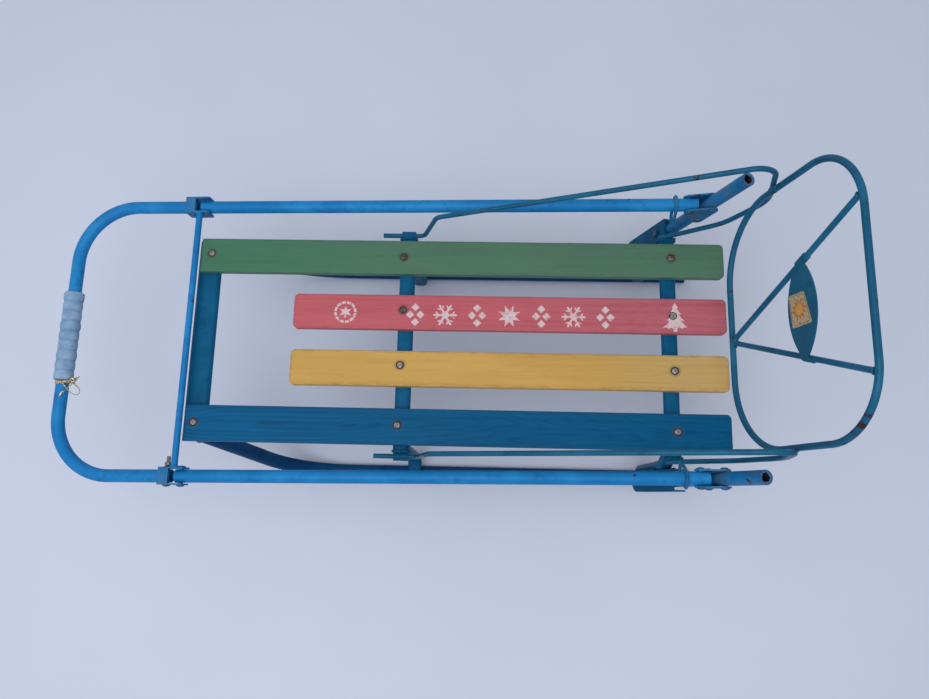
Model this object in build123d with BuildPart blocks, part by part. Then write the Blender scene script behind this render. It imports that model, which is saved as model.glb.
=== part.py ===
from build123d import *
from math import atan2, cos, degrees, hypot, radians, sin, sqrt
import os

os.makedirs("parts", exist_ok=True)

# Child's push sled: x points forward, y to the sled's left, z up, millimetres.
# The origin is on the ground, in the middle of the length and the width.
# Heights under "seat" are taken from the top of the slats.

# Driving heights and places
seat_z = 225.0
mid_bar_x = -4.7
front_bar_ahead = 261.0
rear_bar_behind = 336.0
front_bar_x = mid_bar_x + front_bar_ahead
rear_bar_x = mid_bar_x - rear_bar_behind
weld_gap = 0.1

# Slats
slat_width = 45.0
slat_thickness = 10.0
slat_side_gap = 9.9
slats_behind = 404.5
outer_slat_ahead = 269.0
inner_slat_ahead = 142.5
slat_rear_x = mid_bar_x - slats_behind
outer_slat_front_x = mid_bar_x + outer_slat_ahead
inner_slat_front_x = mid_bar_x + inner_slat_ahead
slat_corner = 6.0
outer_slat_front_corner = 2.0
slat_edge = 1.5

# Flat-oval frame tube
tube_wall = 1.5
bar_height = 12.0
bar_width = 20.0
front_bar_width = 30.0
front_bar_past_runner = 11.0
bar_top_z = seat_z - slat_thickness
bar_mid_z = bar_top_z - bar_height / 2
bar_under_z = bar_top_z - bar_height

# Runners
runner_width = 20.0
runner_height = 12.0
runner_behind = 413.0
runner_rear_x = mid_bar_x - runner_behind
runner_in_from_foot = 8.0
runner_tip_set_in = 37.0
runner_tip_set_back = 3.0
runner_tip_x = front_bar_x - runner_tip_set_back
runner_rise = 68.0
runner_bend = 115.0
runner_top_z = runner_height

# Legs stand on the runners with their feet bent outward
leg_bend = 16.0
mid_leg_set_in = 6.0
mid_leg_splay = 2.0
rear_leg_set_in = 10.3
rear_leg_splay = 15.0
rear_leg_drop = 42.0
foot_reach = 32.0

# Backrest hoop, in a plane that leans back
hoop_diameter = 7.0
hoop_half = 138.0
hoop_lean = 11.6
hoop_behind = 391.0
hoop_above = 57.0
hoop_foot_x = mid_bar_x - hoop_behind
hoop_foot_z = seat_z + hoop_above
hoop_height = 228.0
hoop_low_corner = 84.0
hoop_top_corner = 68.0
strut_diameter = 6.0
strut_half = 82.0
strut_aside = 9.0
strut_bend = 4.0
plate_thickness = 1.5
plate_length = 106.0
plate_height = 45.0
plate_tip = 6.0
plate_rise = 137.0
plate_aside = 3.6

# Arm rods, bent in upright planes, welded to the sides of the hoop and the rear bar
arm_diameter = 6.0
arm_y = hoop_half + (hoop_diameter + arm_diameter) / 2 + weld_gap
arm_end_gap = 0.3
arm_front_reach = 34.0
arm_knee_behind = 20.0
arm_rise_behind = 40.0
arm_rise_height = 48.0
arm_top_past_hoop = 7.0
arm_top_above_foot = 142.0
arm_bulge_past_hoop = 31.0
arm_bulge_above_foot = 53.0
arm_low_past_hoop = 2.0
arm_low_below_foot = 17.0
arm_end_reach = 9.0
arm_end_rise = 2.5
arm_end_slope = 14.0
sleeve_diameter = 11.0
sleeve_length = 18.0
sleeve_fit = 0.1
arm_set_down = 1.5
arm_front_z = bar_mid_z - arm_set_down
mid_bar_half = arm_y - sleeve_diameter / 2 - weld_gap
rear_bar_half = arm_y - arm_diameter / 2 - arm_end_gap

# Places across the sled that follow from the arm rods
slat_pitch = (arm_y - arm_diameter / 2 - slat_side_gap - slat_width / 2) / 1.5
mid_leg_y = mid_bar_half - mid_leg_set_in
rear_leg_top_y = rear_bar_half - rear_leg_set_in
rear_leg_y = rear_leg_top_y + rear_leg_splay
foot_y = mid_leg_y + foot_reach
runner_y = foot_y - runner_in_from_foot
runner_tip_y = runner_y - runner_tip_set_in
front_bar_half = runner_tip_y + front_bar_past_runner
bracket_half = 13.8
rear_pin_y = rear_leg_y + bar_height / 2 + bracket_half
handle_splay = 9.2
front_pin_y = rear_pin_y + handle_splay

# Handle tubes and their hinge pins
handle_diameter = 16.0
handle_wall = 1.5
rear_pin_behind = 351.0
rear_pin_above = 45.0
front_pin_ahead = 267.0
front_pin_below = 1.5
rear_pin_x = mid_bar_x - rear_pin_behind
rear_pin_z = seat_z + rear_pin_above
front_pin_x = mid_bar_x + front_pin_ahead
front_pin_z = seat_z - front_pin_below
handle_tail = 10.0
handle_nose = 6.0
pin_diameter = 6.0
pin_fit = 0.05
pin_head = 10.0
pin_head_height = 2.4
pin_head_taper = 25.0

# Posts that carry the handle
post_lean = 17.0
post_offset = 21.9
post_up = 85.0
post_down = 175.0
cheek_thickness = 2.0
cheek_gap = 0.5
cheek_pad = 7.0
cheek_high = 14.0
cheek_low = -18.0

# Channel brackets that hold the posts to the rear legs
bracket_wall = 2.0
bracket_depth = 17.0
bracket_top = -79.0
bracket_length = 105.0
bracket_corner = 12.0
post_fit = 0.15
bolt_place = -100.0
bolt_head_height = 4.0
bolt_tail = 7.0
nut_height = 5.0
nut_gap = 0.2

# Lock rings on the handle tubes
ring_wire = 4.0
ring_fit = 0.3
ring_tilt = 22.0
ring_slack = 1.0
ring_place = 17.0

# Bow: the bent front of the handle, and the channels that hinge it
bow_reach = 171.0
bow_corner = 75.0
bow_gap = 12.0
channel_wall = 2.0
channel_gap = 0.7
channel_head = 1.0
channel_back = 6.5
channel_length = 31.5
channel_under = 9.5
channel_corner = 3.0
bow_rivet_place = 18.0
cross_rod_diameter = 8.0
cross_rod_place = 6.8
cross_rod_rest = 0.5

# Foam grip, slipped on the bow off centre
grip_length = 117.0
grip_centre_y = -1.0
grip_core = 10.4
grip_lobe = 12.3
grip_lobes = 7
grip_fit = 0.2

sides = (("left", 1), ("right", -1))


def oval_tube(width, height, wall):
    """Draw a flat-oval tube section in the open sketch."""
    SlotOverall(width, height)
    SlotOverall(width - 2 * wall, height - 2 * wall, mode=Mode.SUBTRACT)


def round_tube(diameter, wall):
    """Draw a round tube section in the open sketch."""
    Circle(diameter / 2)
    Circle(diameter / 2 - wall, mode=Mode.SUBTRACT)


def crossways(x, y, z):
    """Give the plane at a point whose normal runs along y."""
    return Plane(origin=(x, y, z), x_dir=(1, 0, 0), z_dir=(0, 1, 0))


# Slats: name, place across the seat in pitches, front end, front corner radius
slat_table = (
    ("slat_outer_left", 1.5, outer_slat_front_x, outer_slat_front_corner),
    ("slat_inner_left", 0.5, inner_slat_front_x, slat_corner),
    ("slat_inner_right", -0.5, inner_slat_front_x, slat_corner),
    ("slat_outer_right", -1.5, outer_slat_front_x, outer_slat_front_corner),
)
for slat_name, pitches, slat_front_x, front_corner in slat_table:
    slat_middle = (slat_front_x + slat_rear_x) / 2
    with BuildPart() as slat:
        with BuildSketch(Plane.XY.offset(bar_top_z)) as board:
            with Locations((slat_middle, pitches * slat_pitch)):
                Rectangle(slat_front_x - slat_rear_x, slat_width)
            fillet(board.vertices().group_by(Axis.X)[-1], front_corner)
            fillet(board.vertices().group_by(Axis.X)[0], slat_corner)
        extrude(amount=slat_thickness)
        fillet(slat.faces().sort_by(Axis.Z)[-1].edges(), slat_edge)
    slat.part.label = slat_name
    export_step(slat.part, f"parts/{slat_name}.step")

# Crossbars: name, place along the sled, width, half length
bar_table = (
    ("front_crossbar", front_bar_x, front_bar_width, front_bar_half),
    ("mid_crossbar", mid_bar_x, bar_width, mid_bar_half),
    ("rear_crossbar", rear_bar_x, bar_width, rear_bar_half),
)
for bar_name, bar_x, width, half_length in bar_table:
    with BuildPart() as crossbar:
        with BuildSketch(crossways(bar_x, 0, bar_mid_z)):
            oval_tube(width, bar_height, tube_wall)
        extrude(amount=half_length, both=True)
    crossbar.part.label = bar_name
    export_step(crossbar.part, f"parts/{bar_name}.step")

# Runners: flat along the ground, curved up to the front crossbar
runner_mid_z = runner_height / 2
rise_height = bar_mid_z - runner_mid_z
rise_run = rise_height * cos(radians(runner_rise)) / sin(radians(runner_rise))
for side, sign in sides:
    with BuildPart() as runner:
        with BuildLine() as runner_path:
            FilletPolyline(
                (runner_rear_x, sign * runner_y, runner_mid_z),
                (runner_tip_x - rise_run, sign * runner_y, runner_mid_z),
                (runner_tip_x, sign * runner_tip_y, bar_mid_z),
                radius=runner_bend,
            )
        with BuildSketch(Plane(runner_path.line @ 0, x_dir=(0, 1, 0), z_dir=(1, 0, 0))):
            oval_tube(runner_width, runner_height, tube_wall)
        sweep(path=runner_path.line)
        split(bisect_by=Plane.XY.offset(bar_under_z), keep=Keep.BOTTOM)
    runner.part.label = f"runner_{side}"
    export_step(runner.part, f"parts/runner_{side}.step")

# Legs: name, place along the sled, then y and height of the upper points
foot_mid_z = runner_top_z + bar_height / 2
leg_table = (
    ("mid_leg", mid_bar_x, ((mid_leg_y, bar_under_z),), mid_leg_y + mid_leg_splay),
    (
        "rear_leg",
        rear_bar_x,
        ((rear_leg_top_y, bar_under_z), (rear_leg_y, bar_under_z - rear_leg_drop)),
        rear_leg_y,
    ),
)
for leg_name, leg_x, upper_points, ankle_y in leg_table:
    for side, sign in sides:
        leg_points = [(sign * y, z) for y, z in upper_points]
        leg_points.append((sign * ankle_y, foot_mid_z))
        leg_points.append((sign * foot_y, foot_mid_z))
        with BuildPart() as leg:
            with BuildLine(Plane.YZ.offset(leg_x)) as leg_path:
                FilletPolyline(*leg_points, radius=leg_bend)
            with BuildSketch(
                Plane(leg_path.line @ 0, x_dir=(1, 0, 0), z_dir=leg_path.line % 0)
            ):
                oval_tube(bar_width, bar_height, tube_wall)
            sweep(path=leg_path.line)
            split(bisect_by=Plane.XY.offset(bar_under_z), keep=Keep.BOTTOM)
        leg.part.label = f"{leg_name}_{side}"
        export_step(leg.part, f"parts/{leg_name}_{side}.step")

# Arm rods: x from the middle bar, height from the seat, bend radius there
arm_low_z = arm_front_z - seat_z
arm_table = (
    (arm_front_reach, arm_low_z, 0.0),
    (-arm_knee_behind, arm_low_z, 12.0),
    (-arm_rise_behind, arm_rise_height, 16.0),
    (-hoop_behind - arm_top_past_hoop, hoop_above + arm_top_above_foot, 22.0),
    (-hoop_behind - arm_bulge_past_hoop, hoop_above + arm_bulge_above_foot, 60.0),
    (-hoop_behind - arm_low_past_hoop, hoop_above - arm_low_below_foot, 60.0),
    (-rear_bar_behind - arm_end_reach, arm_low_z + arm_end_rise + arm_end_slope, 30.0),
    (-rear_bar_behind + arm_end_reach, arm_low_z + arm_end_rise, 0.0),
)
for side, sign in sides:
    with BuildPart() as arm:
        with BuildLine(Plane.XZ.offset(-sign * arm_y)) as arm_path:
            Polyline(*[(mid_bar_x + x, seat_z + z) for x, z, bend in arm_table])
            for x, z, bend in arm_table[1:-1]:
                corner = Vector(mid_bar_x + x, sign * arm_y, seat_z + z)
                fillet(arm_path.vertices().sort_by_distance(corner)[0], bend)
        with BuildSketch(Plane(arm_path.line @ 0, z_dir=arm_path.line % 0)):
            Circle(arm_diameter / 2)
        sweep(path=arm_path.line)
    arm.part.label = f"arm_rod_{side}"
    export_step(arm.part, f"parts/arm_rod_{side}.step")

    # Sleeve welded to the end of the middle crossbar, with the rod through it
    with BuildPart() as sleeve:
        with BuildSketch(Plane(
            origin=(mid_bar_x - sleeve_length / 2, sign * arm_y, arm_front_z),
            x_dir=(0, 1, 0), z_dir=(1, 0, 0),
        )):
            Circle(sleeve_diameter / 2)
            Circle(arm_diameter / 2 + sleeve_fit, mode=Mode.SUBTRACT)
        extrude(amount=sleeve_length)
    sleeve.part.label = f"arm_sleeve_{side}"
    export_step(sleeve.part, f"parts/arm_sleeve_{side}.step")

# Backrest plane: its x runs to the sled's left, its y up the backrest
hoop_plane = Plane(
    origin=(hoop_foot_x, 0, hoop_foot_z),
    x_dir=(0, 1, 0),
    z_dir=(cos(radians(hoop_lean)), 0, sin(radians(hoop_lean))),
)
with BuildPart() as hoop:
    with BuildLine(hoop_plane) as hoop_path:
        Polyline(
            (0, 0),
            (hoop_half, 0),
            (hoop_half, hoop_height),
            (-hoop_half, hoop_height),
            (-hoop_half, 0),
            close=True,
        )
        for across, up, corner_radius in (
            (hoop_half, 0, hoop_low_corner),
            (-hoop_half, 0, hoop_low_corner),
            (hoop_half, hoop_height, hoop_top_corner),
            (-hoop_half, hoop_height, hoop_top_corner),
        ):
            corner = hoop_plane.from_local_coords((across, up, 0))
            fillet(hoop_path.vertices().sort_by_distance(corner)[0], corner_radius)
    with BuildSketch(Plane(
        origin=hoop_plane.origin, x_dir=hoop_plane.z_dir, z_dir=(0, 1, 0)
    )):
        Circle(hoop_diameter / 2)
    sweep(path=hoop_path.wire())
hoop.part.label = "backrest_hoop"
export_step(hoop.part, "parts/backrest_hoop.step")

# Struts: one rod bent to a V that stands on the foot of the hoop, left of the middle
strut_angle = atan2(strut_half, hoop_height)
strut_foot = (hoop_diameter + strut_diameter) / 2 + weld_gap
strut_vertex = strut_foot - strut_bend * (1 / sin(strut_angle) - 1)
corner_inside = hoop_top_corner - hoop_diameter / 2 - weld_gap
corner_aside = max(strut_half + strut_diameter / 2 - (hoop_half - hoop_top_corner), 0)
strut_top = hoop_height - hoop_top_corner + sqrt(corner_inside**2 - corner_aside**2) - weld_gap
with BuildPart() as struts:
    with BuildLine(hoop_plane) as strut_path:
        FilletPolyline(
            (-strut_half, hoop_height),
            (strut_aside, strut_vertex),
            (strut_half, hoop_height),
            radius=strut_bend,
        )
    with BuildSketch(Plane(strut_path.line @ 0, z_dir=strut_path.line % 0)):
        Circle(strut_diameter / 2)
    sweep(path=strut_path.line)
    split(
        bisect_by=Plane(
            origin=hoop_plane.from_local_coords((0, strut_top, 0)), z_dir=hoop_plane.y_dir
        ),
        keep=Keep.BOTTOM,
    )
struts.part.label = "backrest_struts"
export_step(struts.part, "parts/backrest_struts.step")

# Leaf-shaped plate across the struts, on the side of the child's back
leaf_radius = (plate_length**2 / 4 + plate_height**2 / 4) / plate_height
with BuildPart() as leaf:
    with BuildSketch(hoop_plane.offset(strut_diameter / 2)) as leaf_outline:
        with Locations((plate_aside, plate_rise + plate_height / 2 - leaf_radius)):
            Circle(leaf_radius)
        with Locations((plate_aside, plate_rise - plate_height / 2 + leaf_radius)):
            Circle(leaf_radius, mode=Mode.INTERSECT)
        fillet(leaf_outline.vertices(), plate_tip)
    extrude(amount=plate_thickness)
leaf.part.label = "backrest_plate"
export_step(leaf.part, "parts/backrest_plate.step")

# Posts, their brackets and the hinge of the handle
lean_sin = sin(radians(post_lean))
lean_cos = cos(radians(post_lean))
post_x = rear_pin_x - post_offset * lean_cos
post_z = rear_pin_z - post_offset * lean_sin
inside = handle_diameter / 2 + cheek_gap
outside = inside + cheek_thickness
web_inside = handle_diameter / 2 + post_fit
for side, sign in sides:
    # Post frame: x forward of the post, y across the sled, z up the post
    post_plane = Plane(
        origin=(post_x, sign * rear_pin_y, post_z),
        x_dir=(lean_cos, 0, lean_sin),
        z_dir=(-lean_sin, 0, lean_cos),
    )

    def across_post(forward, up):
        """Give the plane across the post at a place in the post's frame."""
        place = post_plane.from_local_coords((forward, 0, up))
        return Plane(origin=place, x_dir=post_plane.x_dir, z_dir=(0, 1, 0))

    def along_normal(forward, up):
        """Give the plane square to the post's front at a place on it."""
        place = post_plane.from_local_coords((forward, 0, up))
        return Plane(origin=place, x_dir=(0, 1, 0), z_dir=post_plane.x_dir)

    with BuildPart() as post:
        with BuildSketch(post_plane.offset(-post_down)):
            round_tube(handle_diameter, handle_wall)
        extrude(amount=post_down + post_up)
        with BuildSketch(across_post(0, cheek_high), across_post(0, cheek_low)):
            Circle(pin_diameter / 2 + pin_fit)
        extrude(amount=handle_diameter, both=True, mode=Mode.SUBTRACT)
        with BuildSketch(along_normal(0, bolt_place)):
            Circle(pin_diameter / 2 + pin_fit)
        extrude(amount=handle_diameter, both=True, mode=Mode.SUBTRACT)
    post.part.label = f"post_{side}"
    export_step(post.part, f"parts/post_{side}.step")

    with BuildPart() as bracket:
        with BuildSketch(post_plane.offset(bracket_top - bracket_length)):
            with Locations((web_inside + bracket_wall - bracket_depth / 2, 0)):
                Rectangle(bracket_depth, 2 * bracket_half)
            with Locations((web_inside - bracket_depth / 2, 0)):
                Rectangle(
                    bracket_depth, 2 * (bracket_half - bracket_wall), mode=Mode.SUBTRACT
                )
        extrude(amount=bracket_length)
        with BuildSketch(along_normal(0, bracket_top - bracket_length / 2)):
            RectangleRounded(2 * bracket_half, bracket_length, bracket_corner)
            with Locations((0, bracket_length / 4)):
                Rectangle(2 * bracket_half, bracket_length / 2)
        extrude(amount=bracket_depth, both=True, mode=Mode.INTERSECT)
        with BuildSketch(along_normal(0, bolt_place)):
            Circle(pin_diameter / 2 + pin_fit)
        extrude(amount=bracket_depth, mode=Mode.SUBTRACT)
    bracket.part.label = f"post_bracket_{side}"
    export_step(bracket.part, f"parts/post_bracket_{side}.step")

    # Bolt through the bracket and the post, with its head in front
    with BuildPart() as bolt:
        with BuildSketch(along_normal(web_inside + bracket_wall, bolt_place)):
            RegularPolygon(pin_head / 2, 6)
        extrude(amount=bolt_head_height)
        with BuildSketch(along_normal(-handle_diameter / 2 - bolt_tail, bolt_place)):
            Circle(pin_diameter / 2)
        extrude(amount=web_inside + bracket_wall + handle_diameter / 2 + bolt_tail)
        with BuildSketch(along_normal(-handle_diameter / 2 - nut_gap, bolt_place)):
            RegularPolygon(pin_head / 2, 6)
        extrude(amount=-nut_height)
    bolt.part.label = f"post_bolt_{side}"
    export_step(bolt.part, f"parts/post_bolt_{side}.step")

    # Cheek plates on both sides of the post, holding the hinge pin in front
    with BuildPart() as cheeks:
        for face in (inside, -outside):
            for corner_places in (
                ((post_offset, 0), (0, cheek_high)),
                ((post_offset, 0), (0, cheek_low)),
                ((0, cheek_high), (0, cheek_low)),
            ):
                start, end = corner_places
                middle = ((start[0] + end[0]) / 2, (start[1] + end[1]) / 2)
                reach = hypot(end[0] - start[0], end[1] - start[1])
                turn = degrees(atan2(end[1] - start[1], end[0] - start[0]))
                cheek_plane = across_post(0, 0).offset(face)
                with BuildSketch(cheek_plane):
                    with Locations(Location((middle[0], -middle[1], 0), (0, 0, -turn))):
                        SlotCenterToCenter(reach, 2 * cheek_pad)
                    if corner_places[0][0] == 0:
                        with Locations((post_offset / 3, -(cheek_high + cheek_low) / 3)):
                            Circle(cheek_pad)
                extrude(amount=cheek_thickness)
        with BuildSketch(
            across_post(post_offset, 0), across_post(0, cheek_high), across_post(0, cheek_low)
        ):
            Circle(pin_diameter / 2 + pin_fit)
        extrude(amount=2 * outside, both=True, mode=Mode.SUBTRACT)
    cheeks.part.label = f"hinge_cheeks_{side}"
    export_step(cheeks.part, f"parts/hinge_cheeks_{side}.step")

    # Rivets through the cheeks and the post, then the hinge pin
    rivet_table = (
        ("post_rivets", ((0, cheek_high), (0, cheek_low))),
        ("hinge_pin", ((post_offset, 0),)),
    )
    for rivet_name, rivet_places in rivet_table:
        with BuildPart() as rivet:
            for forward, up in rivet_places:
                with BuildSketch(across_post(forward, up)):
                    Circle(pin_diameter / 2)
                extrude(amount=outside, both=True)
                for way in (1, -1):
                    with BuildSketch(across_post(forward, up).offset(way * outside)):
                        Circle(pin_head / 2)
                    extrude(amount=way * pin_head_height, taper=pin_head_taper)
        rivet.part.label = f"{rivet_name}_{side}"
        export_step(rivet.part, f"parts/{rivet_name}_{side}.step")

# Handle tubes, from the rear pins to the front pins
handle_run = front_pin_x - rear_pin_x
handle_drop = rear_pin_z - front_pin_z
handle_slope = degrees(atan2(handle_drop, handle_run))
for side, sign in sides:
    rear_pin = Vector(rear_pin_x, sign * rear_pin_y, rear_pin_z)
    front_pin = Vector(front_pin_x, sign * front_pin_y, front_pin_z)
    handle_way = (front_pin - rear_pin).normalized()
    handle_length = (front_pin - rear_pin).length
    handle_plane = Plane(
        origin=rear_pin - handle_way * handle_tail, x_dir=(0, 1, 0), z_dir=handle_way
    )
    with BuildPart() as handle_tube:
        with BuildSketch(handle_plane):
            round_tube(handle_diameter, handle_wall)
        extrude(amount=handle_length + handle_tail + handle_nose)
        with BuildSketch(crossways(*rear_pin), crossways(*front_pin)):
            Circle(pin_diameter / 2 + pin_fit)
        extrude(amount=handle_diameter, both=True, mode=Mode.SUBTRACT)
    handle_tube.part.label = f"handle_tube_{side}"
    export_step(handle_tube.part, f"parts/handle_tube_{side}.step")

    # Lock ring: long enough to go round the handle tube and the post
    ring_radius = handle_diameter / 2 + ring_fit + ring_wire / 2
    ring_length = post_offset + ring_slack
    ring_centre = rear_pin + handle_way * ring_place
    ring_down = Vector(0, -sign * sin(radians(ring_tilt)), -cos(radians(ring_tilt)))
    ring_x = (ring_down - handle_way * ring_down.dot(handle_way)).normalized()
    ring_plane = Plane(origin=ring_centre, x_dir=ring_x, z_dir=handle_way)
    with BuildPart() as ring:
        with BuildLine(ring_plane) as ring_path:
            Line((0, ring_radius), (ring_length, ring_radius))
            ThreePointArc(
                (ring_length, ring_radius),
                (ring_length + ring_radius, 0),
                (ring_length, -ring_radius),
            )
            Line((ring_length, -ring_radius), (0, -ring_radius))
            ThreePointArc((0, -ring_radius), (-ring_radius, 0), (0, ring_radius))
        with BuildSketch(Plane(
            origin=ring_plane.from_local_coords((0, ring_radius, 0)),
            x_dir=ring_plane.y_dir, z_dir=ring_plane.x_dir,
        )):
            Circle(ring_wire / 2)
        sweep(path=ring_path.wire())
    ring.part.label = f"lock_ring_{side}"
    export_step(ring.part, f"parts/lock_ring_{side}.step")

# Bow frame: x forward along the handle, y to the left, z out of the bow
bow_plane = Plane(
    origin=(front_pin_x, 0, front_pin_z),
    x_dir=(cos(radians(handle_slope)), 0, -sin(radians(handle_slope))),
    z_dir=(sin(radians(handle_slope)), 0, cos(radians(handle_slope))),
)
splay = (front_pin_y - rear_pin_y) / hypot(handle_run, handle_drop)
bow_start_y = front_pin_y + splay * bow_gap
bow_end_y = front_pin_y + splay * bow_reach


def across_bow(forward, y, up):
    """Give the plane across the sled at a place in the bow's frame."""
    place = bow_plane.from_local_coords((forward, y, up))
    return Plane(origin=place, x_dir=bow_plane.x_dir, z_dir=(0, 1, 0))


with BuildPart() as bow:
    with BuildLine(bow_plane) as bow_path:
        FilletPolyline(
            (bow_gap, bow_start_y),
            (bow_reach, bow_end_y),
            (bow_reach, -bow_end_y),
            (bow_gap, -bow_start_y),
            radius=bow_corner,
        )
    with BuildSketch(Plane(bow_path.line @ 0, z_dir=bow_path.line % 0)):
        round_tube(handle_diameter, handle_wall)
    sweep(path=bow_path.line)
    with BuildSketch(across_bow(bow_rivet_place, 0, 0)):
        Circle(pin_diameter / 2 + pin_fit)
    extrude(amount=front_pin_y + handle_diameter, both=True, mode=Mode.SUBTRACT)
bow.part.label = "bow_tube"
export_step(bow.part, "parts/bow_tube.step")

# Channels over the ends of the bow: the web on top, a flange on each side
flange_inside = handle_diameter / 2 + channel_gap
flange_outside = flange_inside + channel_wall
web_under = handle_diameter / 2 + channel_head
for side, sign in sides:
    channel_y = sign * bow_start_y
    with BuildPart() as channel:
        for face in (flange_inside, -flange_outside):
            with BuildSketch(across_bow(0, channel_y, 0).offset(face)):
                with Locations((
                    channel_length / 2 - channel_back,
                    (channel_under - web_under - channel_wall) / 2,
                )):
                    RectangleRounded(
                        channel_length,
                        channel_under + web_under + channel_wall,
                        channel_corner,
                    )
            extrude(amount=channel_wall)
        with BuildSketch(bow_plane.offset(web_under)):
            with Locations((
                (bow_gap + channel_length - channel_back) / 2, channel_y
            )):
                Rectangle(
                    channel_length - channel_back - bow_gap, 2 * flange_outside
                )
        extrude(amount=channel_wall)
        with BuildSketch(
            across_bow(0, channel_y, 0), across_bow(bow_rivet_place, channel_y, 0)
        ):
            Circle(pin_diameter / 2 + pin_fit)
        extrude(amount=2 * flange_outside, both=True, mode=Mode.SUBTRACT)
    channel.part.label = f"bow_channel_{side}"
    export_step(channel.part, f"parts/bow_channel_{side}.step")

    # Pins: name, place along the bow
    for pin_name, pin_place in (("fold_pin", 0.0), ("bow_rivet", bow_rivet_place)):
        with BuildPart() as pin:
            with BuildSketch(across_bow(pin_place, channel_y, 0)):
                Circle(pin_diameter / 2)
            extrude(amount=flange_outside, both=True)
            for way in (1, -1):
                with BuildSketch(
                    across_bow(pin_place, channel_y, 0).offset(way * flange_outside)
                ):
                    Circle(pin_head / 2)
                extrude(amount=way * pin_head_height, taper=pin_head_taper)
        pin.part.label = f"{pin_name}_{side}"
        export_step(pin.part, f"parts/{pin_name}_{side}.step")

# Cross rod between the channels, resting just above the outer slats
rod_z = seat_z + cross_rod_rest + cross_rod_diameter / 2
rod_rise = (rod_z - front_pin_z + cross_rod_place * sin(radians(handle_slope)))
rod_rise = rod_rise / cos(radians(handle_slope))
with BuildPart() as cross_rod:
    with BuildSketch(across_bow(cross_rod_place, 0, rod_rise)):
        Circle(cross_rod_diameter / 2)
    extrude(amount=bow_start_y - flange_outside, both=True)
cross_rod.part.label = "cross_rod"
export_step(cross_rod.part, "parts/cross_rod.step")

# Grip: a foam sleeve with soft lobes, turned round the bar of the bow
lobe_pitch = grip_length / grip_lobes
grip_bore = handle_diameter / 2 + grip_fit
with BuildPart() as grip:
    with BuildSketch(bow_plane) as grip_sketch:
        with Locations((bow_reach + (grip_bore + grip_core) / 2, grip_centre_y)):
            Rectangle(grip_core - grip_bore, grip_length)
        for lobe in range(grip_lobes):
            lobe_y = grip_centre_y - grip_length / 2 + (lobe + 0.5) * lobe_pitch
            with BuildLine():
                low = bow_reach + grip_core
                ThreePointArc(
                    (low, lobe_y - lobe_pitch / 2),
                    (bow_reach + grip_lobe, lobe_y),
                    (low, lobe_y + lobe_pitch / 2),
                )
                Line((low, lobe_y + lobe_pitch / 2), (low, lobe_y - lobe_pitch / 2))
            make_face()
    revolve(axis=Axis(bow_plane.from_local_coords((bow_reach, 0, 0)), (0, 1, 0)))
grip.part.label = "grip"
export_step(grip.part, "parts/grip.step")
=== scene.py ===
"""Looks of a child's push sled with a wire backrest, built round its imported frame.

Metres; x points forward, y to the sled's left, z up; the runners stand on z = 0.
"""

import logging
import math
from dataclasses import dataclass, field
from enum import Enum
from typing import Callable, Sequence

import bmesh
import bpy
from mathutils import Euler, Matrix, Vector


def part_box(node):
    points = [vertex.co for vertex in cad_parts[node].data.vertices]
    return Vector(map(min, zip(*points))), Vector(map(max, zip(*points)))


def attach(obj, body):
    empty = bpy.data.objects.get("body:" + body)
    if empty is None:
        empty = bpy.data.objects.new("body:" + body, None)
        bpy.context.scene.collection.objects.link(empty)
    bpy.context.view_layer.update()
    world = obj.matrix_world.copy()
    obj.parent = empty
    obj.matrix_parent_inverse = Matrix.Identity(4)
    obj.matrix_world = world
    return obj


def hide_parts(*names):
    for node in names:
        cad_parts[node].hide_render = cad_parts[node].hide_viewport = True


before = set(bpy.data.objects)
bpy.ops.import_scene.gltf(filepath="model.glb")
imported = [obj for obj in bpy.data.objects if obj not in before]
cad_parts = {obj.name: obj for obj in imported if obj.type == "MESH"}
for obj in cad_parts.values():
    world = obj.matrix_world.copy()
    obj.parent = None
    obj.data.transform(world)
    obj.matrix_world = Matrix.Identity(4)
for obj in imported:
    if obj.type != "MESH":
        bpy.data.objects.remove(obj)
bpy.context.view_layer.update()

LOG = logging.getLogger("sled")
Colour = tuple[float, float, float]
Point = tuple[float, float, float]
Pair = tuple[float, float]
Outline = list[Pair]
TURN = 2 * math.pi
FRONT = Vector((0.0, 0.0, 1.0))


class Body(Enum):
    """The moving bodies of the sled."""

    SLED = "sled"
    HANDLE = "handle"
    BOW = "bow"


class Slot(Enum):
    """The record's material slots."""

    FRAME = "frame_paint"
    HANDLE = "handle_paint"
    RED = "red_wood"
    FOAM = "foam"
    RIVET = "rivet_steel"
    RUST = "rusty_steel"


def both(name: str) -> tuple[str, str]:
    """Give the names of a pair of nodes."""
    return f"{name}_left", f"{name}_right"


def toned(colour: Colour, factor: float, added: float = 0.0) -> Colour:
    """Make a colour lighter or darker.

    Args:
        colour: The colour.
        factor: What each share is multiplied by.
        added: What is added then.

    Returns:
        The new colour.
    """
    return tuple(min(1.0, share * factor + added) for share in colour)


def paint_nodes(paint: bpy.types.Material, *names: str) -> None:
    """Give CAD nodes their material, without changing their shape.

    Args:
        paint: The material.
        names: The nodes.
    """
    for name in names:
        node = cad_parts[name]
        node.data.materials.clear()
        node.data.materials.append(paint)
        LOG.info("%s wears %s", name, paint.name)


def hand_over(piece: bpy.types.Object, body: Body, slot: Slot, *stands_for: str) -> None:
    """Let a piece ride on its body.

    Args:
        piece: The finished piece.
        body: The body that carries it.
        slot: The record's slot of its finish, not used.
        stands_for: The CAD nodes that it replaces.
    """
    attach(piece, body.value)
    if stands_for:
        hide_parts(*stands_for)
    LOG.info("%s rides on the %s", piece.name, body.value)


# Node trees


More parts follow.
